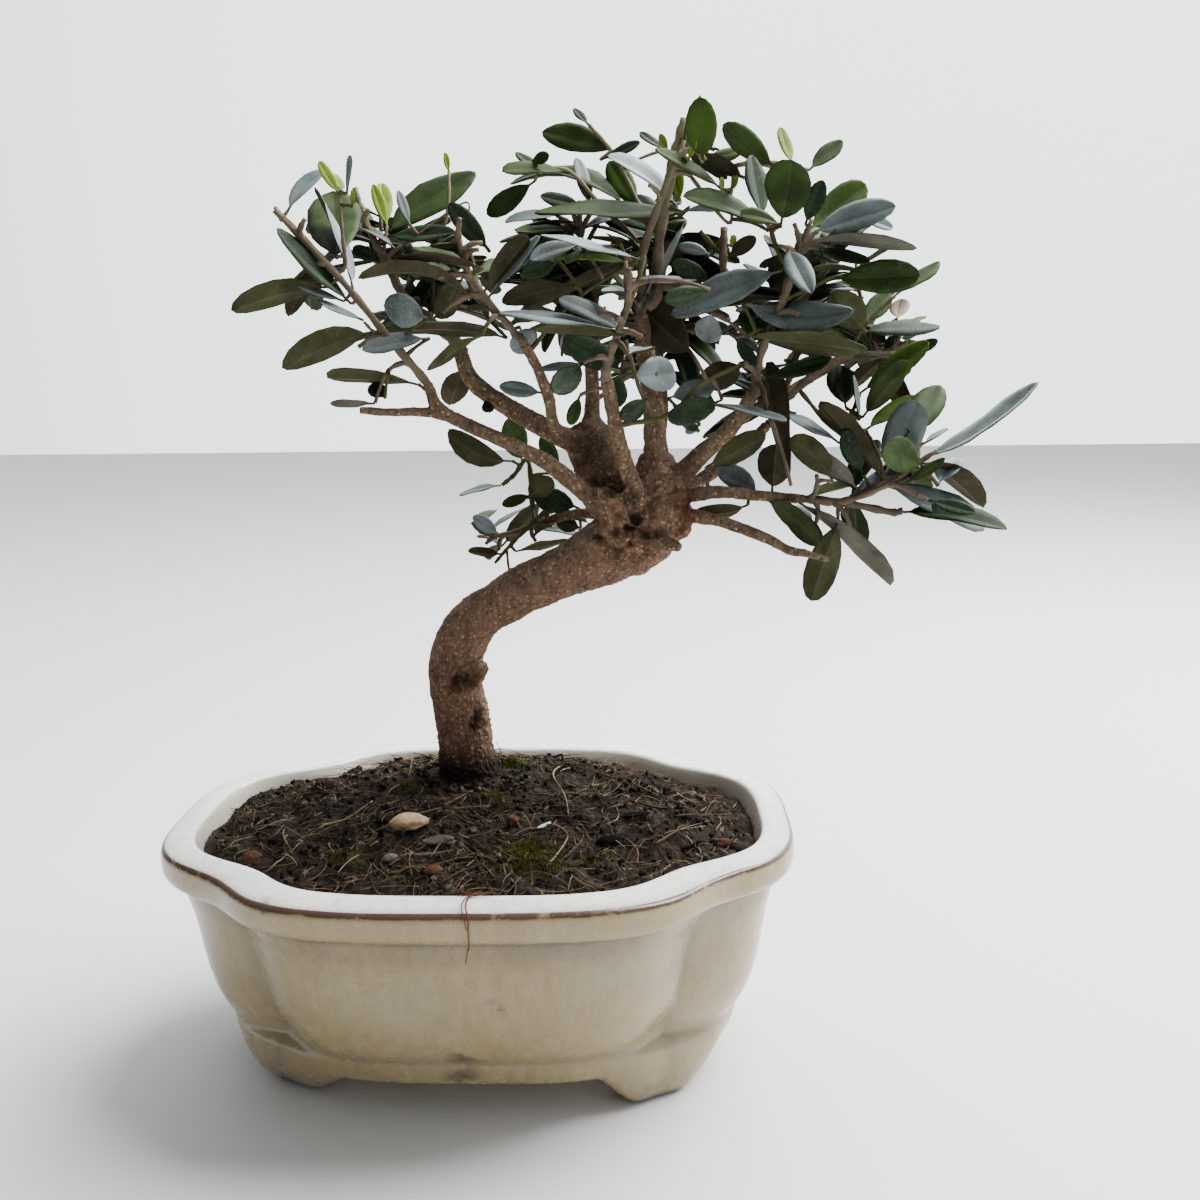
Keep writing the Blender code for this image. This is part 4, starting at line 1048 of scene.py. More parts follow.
def makeBark(barkMaterial):
    gathered = Gathered()
    for part in ("line", "fork", "stump", "snag"):
        path, radii = roundLine(trunk[part])
        gathered.add(*tubeMesh(path, radii, 28))
    for name in boughs:
        path, radii = limbLine(name)
        swell = [r * (1 + 0.35 * math.exp(-i / 3)) for i, r in enumerate(radii)]
        gathered.add(*tubeMesh(path, swell, 14))
    for place, radius, squash in knobs.values():
        gathered.add(*knobMesh(place, radius, squash))
    piece = gathered.piece("barkLimbs", [barkMaterial])
    knit = piece.modifiers.new("knit", "REMESH")
    knit.mode = "VOXEL"
    knit.voxel_size = trunk["voxel"] * mm
    soften = piece.modifiers.new("soften", "SMOOTH")
    soften.factor = 0.5
    soften.iterations = 5
    graph = bpy.context.evaluated_depsgraph_get()
    mesh = bpy.data.meshes.new_from_object(piece.evaluated_get(graph))
    piece.modifiers.clear()
    piece.data = mesh
    count = len(mesh.vertices)
    points = np.empty(count * 3)
    mesh.vertices.foreach_get("co", points)
    points = (points.reshape(-1, 3) - np.array(plantMiddle)) / mm
    normals = np.empty(count * 3)
    mesh.vertices.foreach_get("normal", normals)
    normals = normals.reshape(-1, 3)
    girth = nearestGirth(points)
    share = np.clip((girth - 2.0) / 8.0, 0, 1)
    rough = np.zeros(count)
    for centre, reach in ragged:
        away = np.linalg.norm(points - np.array(centre), axis=1) / reach
        rough = np.maximum(rough, np.clip(1.6 - away - 0.5 * lumps(points, 4.0, 29), 0, 1))
    base = np.clip((119 - points[:, 2]) / 12, 0, 1)
    swells = (lumps(points, 11, 22) - 0.5) * 1.8 * share
    offset = swells + (lumps(points, 4.0, 23) - 0.5) * (0.35 + 0.5 * share)
    torn = (lumps(points, 3.6, 34) - 0.5) * 3.8 * rough
    offset += torn + (lumps(points, 1.7, 35) - 0.5) * 1.5 * np.maximum(rough, base)
    stretch = points * np.array([1, 1, 0.55])
    offset += (lumps(stretch, 1.5, 24) - 0.5) * (0.2 + 0.25 * share)
    away, own = pips(points, 2.5, 25)
    near, ownNear = pips(points, 1.8, 26)
    pip = np.clip(1.25 - away / 0.62, 0, 1) * (own > 0.2)
    low = np.clip((150 - points[:, 2]) / 35, 0, 1) * (share > 0.5)
    pip = np.maximum(pip, np.clip(1.2 - near / 0.56, 0, 1) * (ownNear > 0.72 - 0.45 * low)) * np.clip(
        girth / 5, 0.25, 1
    )
    offset += pip * (0.48 + 0.4 * low)
    pits, ownPit = pips(points + 0.9, 2.1, 36)
    pit = np.clip(1.25 - pits / 0.55, 0, 1) * (ownPit > 0.45) * (1 - pip)
    offset -= pit * 0.4
    # dark bark together with painted shade in the forks, the holes and the wound's hollow
    darkAndShade = np.zeros(count)
    red = np.zeros(count)
    for place, size, depth, darkAndShadeAmount, redness in barkMarks:
        distance = np.linalg.norm((points - np.array(place)) * np.array([1, 0.45, 1]), axis=1) * (
            0.75 + 0.5 * lumps(points, 2.0, 27)
        )
        felt = np.exp(-((distance / size) ** 2))
        offset += depth * felt
        darkAndShade = np.maximum(darkAndShade, darkAndShadeAmount * np.clip(felt * 1.3, 0, 1))
        red = np.maximum(red, redness * np.clip(felt * 1.3, 0, 1))
    across = points[:, 0] - wound["middle"][0]
    high = points[:, 2] - wound["middle"][1] - across * wound["slope"]
    out = np.sqrt((across / wound["halfAcross"]) ** 2 + (high / wound["halfHigh"]) ** 2)
    out += (lumps(points, 3.0, 37) - 0.5) * 0.45
    front = np.clip((wound["behind"] - points[:, 1]) / 3, 0, 1)
    offset += front * wound["rim"] * belt(out, 1.05, 0.22) * (0.3 + 1.3 * lumps(points, 2.0, 38))
    sunk = front * np.clip(1.3 - out / 0.85, 0, 1)
    offset -= sunk * wound["hollow"] * (0.7 + 0.6 * lumps(points, 2.0, 39))
    # painted shade in the wound's hollow
    darkAndShade = np.maximum(
        darkAndShade, np.clip(sunk * 1.3, 0, 1) * np.clip(lumps(points, 1.5, 40) * 2.6 - 0.5, 0.25, 0.85)
    )
    red = np.maximum(red, front * np.exp(-(((out - 0.9) / 0.35) ** 2)) * 0.2)
    # torn top of the stump
    torn = np.linalg.norm(points[:, :2] - np.array([54, -8]), axis=1) < 8
    torn &= points[:, 2] > 229
    points[torn, 2] += (lumps(points[torn] * np.array([1, 1, 0.1]), 1.8, 28) - 0.4) * 4.0
    points += normals * offset[:, None]
    mesh.vertices.foreach_set("co", (points * mm + np.array(plantMiddle)).ravel())
    mesh.update()
    # share of each point facing up, used for painted light on the bark
    upwardLitShare = np.clip(normals[:, 2] * 0.5 + 0.5, 0, 1)
    values = {
        "pip": pip, "pit": pit, "darkAndShade": darkAndShade, "red": red, "rough": rough, "foot": base, "upwardLit": upwardLitShare,
        "girth": np.clip(girth / 12, 0, 1),
    }
    for name in values:
        addMask(piece, name, values[name])
    return rideOn(piece, "bark", "trunk", *boughs)


# radius of the limb nearest to each point
def nearestGirth(points):
    stations = [(*p, r) for path, radii in limbStations() for p, r in zip(path, radii)]
    stations = np.array(stations, np.float32)
    found = np.empty(len(points))
    for start in range(0, len(points), 4000):
        part = points[start : start + 4000].astype(np.float32)
        away = np.linalg.norm(part[:, None] - stations[None, :, :3], axis=2) - stations[None, :, 3]
        found[start : start + 4000] = stations[away.argmin(axis=1), 3]
    return found


def oliveBark():
    made = newMaterial("oliveBark", (0.10, 0.07, 0.045), 0.9, gloss=0.06)
    n = Nodes(made)
    young, old = (0.130, 0.092, 0.056), (0.178, 0.104, 0.070)
    base = n.mix(n.remap(n.mask("girth"), 0.25, 0.75), young, old)
    # painted light: bark that faces up is painted paler grey for the light from above
    litTopGrey = n.times(n.remap(n.mask("upwardLit"), 0.42, 0.8), n.remap(n.noise(60, 4), 0.3, 0.6, 0.5, 1.0))
    base = n.mix(n.times(litTopGrey, 0.8), base, (0.190, 0.143, 0.100))
    base = n.mix(n.times(n.remap(n.noise(90, 5, 0.65), 0.45, 0.68), 0.75), base, (0.078, 0.046, 0.029))
    fibre = n.noise(620, 5, 0.7, stretch=(1, 1, 0.45))
    base = n.mix(n.remap(fibre, 0.50, 0.66, 0, 0.65), base, (0.055, 0.033, 0.021))
    base = n.mix(n.remap(fibre, 0.47, 0.34, 0, 0.45), base, (0.27, 0.185, 0.12))
    ragged = n.times(n.mask("rough"), n.remap(n.noise(330, 5, 0.75), 0.44, 0.58))
    base = n.mix(n.times(ragged, 0.8), base, (0.032, 0.020, 0.013))
    tan = n.times(n.mask("rough"), n.remap(n.noise(500, 4, 0.7, stretch=(1, 1, 0.6)), 0.53, 0.66, 0, 0.7))
    base = n.mix(tan, base, (0.34, 0.215, 0.115))
    base = n.mix(n.times(n.mask("pit"), 0.85), base, (0.025, 0.016, 0.011))
    base = n.mix(n.times(n.remap(n.cells(470), 0.10, 0.24, 1, 0), 0.75), base, (0.034, 0.021, 0.014))
    base = n.mix(n.times(n.mask("foot"), 0.96), base, (0.012, 0.008, 0.006))
    warts = n.times(n.mask("pip"), n.remap(n.mask("foot"), 0.35, 0.9, 0.75, 0.12))
    base = n.mix(warts, base, (0.42, 0.27, 0.165))
    fine = n.times(n.remap(n.cells(345), 0.12, 0.25, 1, 0), n.remap(n.mask("foot"), 0.35, 0.9, 0.75, 0.15))
    base = n.mix(fine, base, (0.40, 0.265, 0.165))
    base = n.mix(
        n.times(n.mask("red"), n.remap(n.noise(420, 4, 0.7), 0.40, 0.62, 0.1, 0.85)), base, (0.27, 0.10, 0.04)
    )
    # dark bark and painted shade from the marks and the wound's hollow
    base = n.mix(n.mask("darkAndShade"), base, (0.010, 0.007, 0.005))
    n.colour(base)
    n.rough(n.remap(n.noise(200, 3), 0.3, 0.7, 0.8, 0.95))
    n.bump(n.plus(n.plus(n.noise(420, 6, 0.7), n.noise(1400, 3, 0.6)), n.times(fibre, 0.8)), 0.0007, 0.9)
    return made


leafKinds = {
    "spacing": 9.0,
    "angle": 58.0,
    "slenderness": 0.37,
    "clear": 1.9,
    "fillTries": 300,
    "fillClear": 1.5,
    "droop": 0.35,
    "rows": 9,
    "across": (-1.0, -0.72, -0.38, -0.05, 0.05, 0.38, 0.72, 1.0),
    "thickness": 0.42,
    "stalk": 3.4,
    "sideChance": 0.75,
    "top": 376.0,
    "foot": 112.0,
    "level": 0.55,
    "shortest": 10.0,
    "longest": 62.0,
}
# glaucous and silver are the leaves' waxy grey-green with painted sky sheen, given to leaves whose tops shine
topTones = {
    "green": (0.027, 0.045, 0.0115),
    "deep": (0.0165, 0.029, 0.0130),
    "glaucous": (0.077, 0.097, 0.091),
    "silver": (0.148, 0.182, 0.178),
    "fresh": (0.034, 0.065, 0.0080),
    "young": (0.170, 0.240, 0.030),
    "dry": (0.19, 0.135, 0.11),
}
underTones = {
    "underGreen": (0.033, 0.042, 0.0165),
    "underOlive": (0.039, 0.041, 0.0180),
    "underBrown": (0.039, 0.033, 0.0185),
    "underGrey": (0.072, 0.068, 0.053),
}
toneNames = list(topTones) + list(underTones) + ["rib", "underRib"]


def leafMaterials():
    made = []
    dusty = {"glaucous": 0.55, "silver": 0.5, "green": 0.10, "deep": 0.14}
    for name in toneNames:
        if name in topTones:
            item = newMaterial(
                "leaf" + name.capitalize(),
                topTones[name],
                0.5,
                gloss=0.22 if name in ("glaucous", "silver") else 0.05,
            )
        elif name in underTones:
            item = newMaterial(name, underTones[name], 0.85, gloss=0.04)
        else:
            item = newMaterial(
                "leaf" + name.capitalize(),
                (0.040, 0.058, 0.022) if name == "rib" else (0.052, 0.052, 0.027),
                0.6,
                gloss=0.06,
            )
        n = Nodes(item)
        colour = tuple(item.node_tree.nodes["Principled BSDF"].inputs["Base Color"].default_value)[:3]
        lighter = tuple(c * 1.4 + 0.002 for c in colour)
        darker = shade(colour, 0.66)
        base = n.mix(n.remap(n.noise(70, 4), 0.35, 0.65), darker, lighter)
        dust = n.times(
            n.remap(n.noise(900, 3, 0.7), 0.52, 0.68), n.remap(n.noise(90, 3), 0.42, 0.62, 0.1, 1.0)
        )
        base = n.mix(n.times(dust, dusty.get(name, 0.08)), base, (0.24, 0.29, 0.28))
        n.colour(base)
        n.bump(n.noise(260, 3), 0.0003, 0.3)
        made.append(item)
    return made


# one leaf from root to tip, with the way its face looks and the bow of its middle, all in mm
class Leaf:
    def __init__(self, root, tip, face, width, tone, under="underGreen", bow=(0, 0, 0), twist=0.0, fold=0.22):
        self.root, self.tip, self.bow = Vector(root), Vector(tip), Vector(bow)
        self.chord = self.tip - self.root
        self.length = self.chord.length
        self.heading = self.chord.normalized()
        face = Vector(face) - self.heading * self.heading.dot(face)
        self.face = face.normalized()
        self.side = self.heading.cross(self.face).normalized()
        self.width, self.tone, self.under = width, tone, under
        self.twist, self.fold = twist, fold

    def centre(self, u):
        return self.root + self.chord * u + self.bow * 4 * u * (1 - u)

    def outline(self):
        found = []
        for u in (0.2, 0.35, 0.5, 0.65, 0.8, 1.0):
            middle = self.centre(u)
            reach = self.side * self.width * 0.5 * (4 * u * (1 - u)) ** 0.7
            found += [middle, middle + reach, middle - reach]
        return np.array([list(p) for p in found])

    def mesh(self, rng):
        rows = leafKinds["rows"]
        stalk = min(leafKinds["stalk"] / self.length, 0.12)
        blade = [stalk + (1 - stalk) * (0.5 - 0.5 * math.cos(math.pi * k / (rows - 1))) for k in range(rows)]
        stations = [0.0, stalk * 0.6] + blade
        broad = min(max(self.width / self.length - 0.3, 0) / 0.3, 1)
        belly = rng.uniform(0.66, 0.82) - 0.18 * broad
        point = rng.uniform(0.54, 0.68) - 0.12 * broad
        peak = belly / (belly + point)
        norm = peak**belly * (1 - peak) ** point
        wave, phase = rng.uniform(0.0, 0.10), rng.uniform(0, math.tau)
        curl = rng.uniform(0.05, 0.28)
        topPoints, lowPoints = [], []
        columns = leafKinds["across"]
        for u in stations:
            t = max((u - stalk) / (1 - stalk), 0.0)
            half = max(
                self.width / 2 * (t**belly * max(1 - t, 0.0) ** point) / norm, 0.45 if u < 0.5 else 0.05
            )
            middle = self.centre(u)
            ahead = (self.centre(min(u + 0.01, 1)) - self.centre(max(u - 0.01, 0))).normalized()
            normal = (self.face - ahead * ahead.dot(self.face)).normalized()
            normal = Quaternion(ahead, self.twist * (u - 0.5)) @ normal
            side = ahead.cross(normal)
            for v in columns:
                swing = wave * math.sin(t * 9 + phase + (2 if v > 0 else 0)) * v * v
                lift = half * (self.fold * abs(v) - curl * abs(v) ** 3 + swing)
                lift -= 0.10 * half if abs(v) < 0.1 else 0
                place = middle + side * half * v + normal * lift
                skin = leafKinds["thickness"] * (1 - 0.6 * v * v) * (0.4 if t > 0.97 else 1) + (
                    0.25 if abs(v) < 0.1 else 0
                )
                topPoints.append(place + normal * 0.1)
                lowPoints.append(place - normal * skin)
        count = len(stations) * len(columns)
        faces, tones = [], []
        top = toneNames.index(self.tone)
        low = toneNames.index(self.under)
        rib = toneNames.index(self.tone if self.tone in ("glaucous", "silver", "deep") else "rib")
        lowRib = toneNames.index("underRib")
        wide = len(columns)
        for r in range(len(stations) - 1):
            for c in range(wide - 1):
                a, b = r * wide + c, r * wide + c + 1
                ribbed = c == wide // 2 - 1
                faces.append([a, a + wide, b + wide, b])
                tones.append(rib if ribbed else top)
                faces.append([count + a, count + b, count + b + wide, count + a + wide])
                tones.append(lowRib if ribbed else low)
            for c in (0, wide - 1):
                a = r * wide + c
                edge = [a, count + a, count + a + wide, a + wide]
                faces.append(edge if c == 0 else edge[::-1])
                tones.append(low)
        for r in (0, len(stations) - 1):
            strip = [r * wide + c for c in range(wide)]
            cap = strip + [count + k for k in reversed(strip)]
            faces.append(cap if r == 0 else cap[::-1])
            tones.append(low)
        return [list(p) for p in topPoints + lowPoints], faces, tones


# a stem or twig: stations, radius at both ends, and the leaf point it was sent to reach
class Shoot:
    def __init__(self, path, thick, thin, tipLeaf=None, pale=False):
        self.path, self.thick, self.thin, self.tipLeaf, self.pale = path, thick, thin, tipLeaf, pale

    def radii(self):
        last = len(self.path) - 1
        return [self.thick + (self.thin - self.thick) * i / last for i in range(last + 1)]

    def length(self):
        return sum((b - a).length for a, b in zip(self.path, self.path[1:]))

    def at(self, distance):
        for a, b in zip(self.path, self.path[1:]):
            span = (b - a).length
            if distance <= span:
                return a.lerp(b, distance / span), (b - a).normalized()
            distance -= span
        return self.path[-1], (self.path[-1] - self.path[-2]).normalized()


masses = {
    "foliage_left_low": (
        "bough_left_low", 40,
        [(-27, -24, 290), (-42, -28, 310), (-63, -31, 333)],
        [(-82, -29, 300), (-62, -40, 277), (-50, -12, 272), (-46, -36, 345), (-72, -18, 345)],
    ),
    "foliage_left_upper": (
        "bough_left_upper", 40,
        [(-17, 15, 296), (-28, 16, 307), (-37, 19, 324), (-45, 20, 340)],
        [(-64, 34, 330), (-36, 46, 292), (-58, 24, 352), (-34, 18, 350), (-8, 36, 330), (0, 8, 350)],
    ),
    "foliage_left_inner": (
        "bough_left_inner", 40,
        [(19, -24, 291), (5, -30, 310), (1, -32, 325)],
        [(-40, -46, 284), (-34, -52, 310), (6, -46, 345), (24, -50, 326), (2, -58, 290), (28, -22, 330)],
    ),
    "foliage_top_left": (
        "bough_top_left", 42,
        [(48, 26, 291), (47, 25, 307), (42, 22, 330)],
        [
            (28, 18, 366), (4, 22, 338), (42, 16, 374), (8, 38, 356), (30, 62, 318), (60, 38, 362),
            (-6, 44, 310),
        ],
    ),
    "foliage_leader": (
        "bough_leader", 42,
        [(66, 4, 306), (67, 4, 321), (74, 4, 340), (81, 4, 356)],
        [
            (88, 6, 375.5), (30, -22, 334), (100, 0, 366), (58, -16, 356), (62, -34, 300), (104, 20, 348),
            (36, -20, 310),
        ],
    ),
    "foliage_front": (
        "bough_front", 34,
        [(55, -36, 284), (59, -44, 294), (62, -50, 306)],
        [
            (72, -62, 270), (86, -58, 284), (34, -62, 282), (52, -72, 296), (60, -70, 326), (84, -66, 312),
            (30, -60, 304),
        ],
    ),
    "foliage_right": (
        "bough_right", 42,
        [(108, -15, 276), (112, -17, 289), (118, -19, 303), (123, -21, 320)],
        [(138, -12, 357), (114, -26, 352), (158, -24, 333), (166, -20, 317), (84, -50, 300),
         (138, -50, 296), (118, -42, 238),
         (96, -48, 330), (146, -6, 343)],
    ),
    "foliage_right_upper": (
        "bough_right_upper", 40,
        [(147, 9, 279), (156, 12, 281), (164, 14, 283)],
        [
            (174, 2, 310), (184, 10, 292), (186, 26, 282), (166, 22, 318), (160, 44, 296), (176, 4, 262),
            (150, 34, 262),
        ],
    ),
    "foliage_right_low": (
        "bough_right_low", 44,
        [(141, -10, 226), (157, -12, 232), (168, -13, 240)],
        [(212, -12, 270), (205, -10, 215), (192, -28, 219), (160, -18, 194), (131, -6, 186),
         (136, -34, 262), (168, -28, 266),
         (182, 12, 266)],
    ),
    "foliage_back": (
        "bough_back", 40,
        [(74, 52, 290), (75, 54, 306), (76, 54, 322)],
        [
            (60, 84, 300), (92, 84, 298), (76, 78, 348), (48, 70, 340), (106, 66, 340), (76, 86, 272),
            (112, 74, 310), (82, 44, 356),
        ],
    ),
    "foliage_back_right": (
        "bough_back_right", 40,
        [(124, 44, 262), (130, 46, 278), (134, 46, 296)],
        [
            (160, 66, 290), (122, 80, 288), (150, 60, 322), (118, 62, 330), (168, 58, 256), (134, 78, 262),
            (140, 28, 336),
        ],
    ),
    "foliage_back_low": (
        "bough_back_low", 34,
        [(12, 55, 206), (2, 56, 204), (-5, 56, 206)],
        [
            (-20, 54, 222), (-14, 50, 192), (-2, 60, 180), (12, 62, 236), (16, 78, 214), (-8, 76, 210),
            (24, 44, 186),
        ],
    ),
}


# Leaves that stand out, by the mass that carries them. Each is its root and tip as the camera sees them, in
# 1200ths of the view, its apparent width, the tone of the side that shows, and how far its middle bows up.
plainLeaves = {
    "foliage_left_low": [
        (330, 287, 231, 310, 25, "underOlive", 6), (352, 304, 277, 228, 17, "deep", 0),
        (287, 212, 324, 170, 14, "silver", 4),
        (336, 258, 333, 191, 58, "green", 0), (353, 287, 315, 188, 9, "silver", 6),
        (339, 194, 319, 161, 11, "young", 0),
        (342, 191, 336, 174, 10, "young", 0), (346, 194, 350, 155, 5, "silver", 0),
        (364, 320, 318, 300, 7, "silver", 0),
        (345, 301, 290, 280, 8, "silver", 0), (428, 318, 384, 305, 33, "glaucous", 0),
        (373, 332, 282, 368, 30, "underOlive", 5),
        (418, 384, 327, 377, 14, "underOlive", 4), (375, 403, 330, 403, 8, "underGrey", 0),
        (385, 398, 371, 384, 18, "deep", 0),
        (430, 338, 362, 350, 18, "glaucous", 2), (352, 206, 354, 190, 6, "young", 0),
    ],
    "foliage_left_upper": [
        (387, 226, 373, 184, 12, "young", 0), (387, 226, 382, 183, 17, "young", 0),
        (380, 262, 353, 247, 14, "deep", 0),
        (387, 233, 476, 172, 33, "green", 4), (387, 236, 455, 232, 16, "deep", 0),
        (490, 252, 449, 203, 22, "deep", 0),
        (449, 172, 445, 153, 6, "young", 0), (463, 277, 437, 318, 26, "underOlive", 0),
        (463, 367, 449, 405, 28, "underBrown", 0),
        (484, 400, 490, 412, 12, "deep", 0), (412, 262, 384, 250, 12, "green", 0),
        (410, 225, 398, 190, 10, "silver", 0),
    ],
    "foliage_left_inner": [
        (473, 298, 358, 278, 13, "underBrown", 18), (483, 268, 396, 259, 10, "underBrown", 4),
        (483, 293, 528, 236, 24, "underBrown", 0),
        (488, 297, 540, 236, 11, "silver", 0), (575, 285, 502, 303, 22, "underBrown", 4),
        (637, 260, 531, 308, 15, "underBrown", 4),
        (581, 245, 530, 260, 17, "glaucous", 3), (640, 260, 540, 235, 7, "silver", 4),
        (559, 262, 522, 274, 18, "deep", 0),
        (507, 338, 365, 337, 13, "underBrown", 12), (482, 335, 427, 370, 12, "underOlive", 3),
        (520, 327, 528, 353, 32, "glaucous", 0),
        (543, 393, 499, 386, 16, "glaucous", 0),
    ],
    "foliage_top_left": [
        (683, 213, 535, 213, 17, "green", 3), (570, 173, 502, 171, 12, "green", 4),
        (535, 181, 487, 215, 22, "green", 0),
        (546, 174, 516, 152, 10, "deep", 0), (531, 162, 549, 155, 12, "green", 0),
        (627, 208, 510, 184, 14, "green", 22),
        (583, 205, 540, 196, 14, "deep", 0), (590, 207, 578, 158, 15, "glaucous", 0),
        (638, 209, 609, 161, 26, "fresh", 0),
        (615, 153, 542, 132, 28, "green", 4), (678, 208, 607, 156, 15, "silver", 8),
        (681, 203, 671, 155, 17, "young", 0),
        (685, 221, 636, 326, 7, "silver", 0), (588, 124, 574, 108, 8, "deep", 0),
        (600, 160, 640, 142, 10, "deep", 0),
        (560, 215, 505, 222, 10, "silver", 3), (665, 150, 640, 132, 8, "deep", 0),
    ],
    "foliage_leader": [
        (703, 163, 700, 97, 32, "fresh", 0), (776, 168, 723, 124, 26, "green", 0),
        (668, 153, 660, 134, 8, "young", 0),
        (688, 160, 696, 140, 7, "young", 0), (723, 190, 655, 149, 12, "green", 4),
        (769, 231, 683, 196, 18, "green", 8),
        (809, 170, 842, 140, 17, "green", 0), (792, 165, 781, 127, 12, "young", 0),
        (683, 212, 722, 208, 8, "silver", 3),
        (711, 256, 678, 246, 12, "silver", 2), (712, 282, 672, 262, 20, "deep", 0),
        (727, 258, 756, 237, 16, "underBrown", 0),
        (745, 178, 703, 155, 16, "underBrown", 0), (735, 247, 732, 236, 8, "young", 0),
        (706, 281, 631, 281, 7, "silver", 3),
        (724, 192, 720, 178, 6, "young", 0), (731, 190, 738, 176, 6, "young", 0),
        (706, 160, 742, 150, 14, "green", 0),
    ],
    "foliage_right": [
        (781, 224, 792, 160, 46, "green", 0), (763, 221, 752, 155, 22, "deep", 0),
        (805, 225, 823, 180, 20, "deep", 0),
        (807, 231, 866, 184, 34, "fresh", 0), (811, 234, 896, 206, 28, "silver", 3),
        (811, 241, 917, 248, 14, "underGrey", 5),
        (781, 271, 671, 315, 33, "glaucous", 4), (743, 304, 854, 311, 30, "glaucous", -8),
        (712, 312, 706, 342, 30, "glaucous", 0),
        (746, 336, 868, 349, 22, "underOlive", 3), (791, 486, 767, 362, 23, "underBrown", 0),
        (735, 338, 756, 366, 14, "deep", 0),
        (765, 378, 830, 360, 16, "deep", 0), (832, 279, 920, 275, 34, "green", 0),
        (800, 240, 838, 262, 12, "deep", 0),
        (782, 226, 740, 214, 14, "green", 3), (812, 246, 870, 262, 12, "deep", 0),
        (858, 214, 893, 228, 12, "silver", 0),
    ],
    "foliage_right_upper": [
        (866, 332, 832, 292, 34, "underOlive", 0), (895, 295, 939, 261, 14, "green", 0),
        (862, 325, 890, 292, 22, "green", 0),
        (897, 319, 901, 299, 21, "dry", 0), (862, 332, 940, 326, 16, "deep", 3),
        (884, 350, 894, 337, 10, "deep", 0),
        (860, 393, 929, 342, 22, "fresh", 0), (862, 418, 907, 360, 24, "underGreen", 0),
        (846, 408, 838, 365, 30, "deep", 0),
        (860, 420, 853, 375, 5, "silver", 0), (905, 355, 938, 340, 12, "green", 0),
    ],
    "foliage_front": [
        (632, 378, 675, 372, 38, "silver", 0), (668, 398, 715, 385, 24, "glaucous", 0),
        (745, 365, 700, 385, 30, "underBrown", 0),
        (701, 402, 787, 421, 6, "silver", 2), (722, 400, 668, 420, 26, "deep", 0),
        (699, 432, 681, 418, 12, "deep", 0),
        (710, 290, 665, 300, 20, "deep", 0), (693, 355, 636, 303, 45, "underBrown", 0),
        (625, 333, 499, 312, 10, "silver", 4),
        (625, 335, 535, 330, 12, "underOlive", 2), (626, 334, 559, 298, 19, "glaucous", 4),
        (626, 372, 564, 338, 30, "deep", 0),
        (583, 363, 554, 393, 26, "deep", 0), (583, 363, 537, 369, 8, "silver", 0),
        (620, 372, 612, 408, 26, "deep", 0),
        (580, 395, 570, 425, 14, "green", 0), (648, 398, 622, 420, 20, "deep", 0),
        (700, 425, 685, 432, 10, "silver", 0),
    ],
    "foliage_right_low": [
        (925, 457, 1038, 382, 15, "silver", -8), (885, 474, 918, 401, 40, "glaucous", 0),
        (923, 466, 884, 446, 34, "green", 0),
        (905, 437, 940, 385, 34, "green", 0), (865, 430, 915, 395, 16, "fresh", 0),
        (883, 479, 820, 401, 22, "underBrown", 4),
        (863, 474, 845, 430, 24, "deep", 0), (840, 443, 789, 417, 10, "silver", 3),
        (833, 482, 790, 438, 28, "underOlive", 5),
        (859, 490, 804, 453, 18, "underGrey", 4), (887, 486, 986, 526, 28, "glaucous", 3),
        (901, 512, 1007, 529, 18, "deep", 6),
        (905, 483, 945, 458, 11, "green", 0), (799, 502, 891, 585, 18, "underGrey", 6),
        (838, 520, 811, 601, 34, "underOlive", 0),
        (778, 512, 821, 545, 24, "underGreen", 3), (846, 505, 848, 523, 14, "underGreen", 0),
        (924, 443, 948, 428, 5, "silver", 0),
        (759, 494, 718, 470, 24, "glaucous", 3), (706, 467, 766, 434, 26, "underOlive", 0),
        (772, 491, 776, 444, 36, "underBrown", 0),
        (748, 505, 694, 513, 16, "underOlive", -3), (763, 498, 819, 541, 22, "underGreen", 4),
        (928, 500, 975, 512, 14, "deep", 0),
    ],
    "foliage_back_low": [
        (512, 461, 449, 429, 26, "underOlive", -9), (523, 463, 508, 418, 27, "green", 0),
        (560, 474, 541, 436, 17, "green", 0),
        (501, 485, 459, 495, 7, "silver", 2), (499, 534, 473, 516, 15, "silver", 0),
        (531, 495, 502, 505, 12, "green", 0),
        (502, 546, 539, 505, 20, "underOlive", 0), (579, 508, 534, 495, 26, "deep", 0),
        (527, 498, 552, 478, 24, "underOlive", 0),
        (581, 528, 556, 520, 18, "underBrown", 0), (515, 551, 568, 539, 8, "underOlive", 0),
        (502, 554, 468, 551, 10, "underBrown", 0),
        (568, 512, 587, 522, 6, "deep", 0), (510, 568, 509, 578, 5, "underOlive", 0),
    ],
}
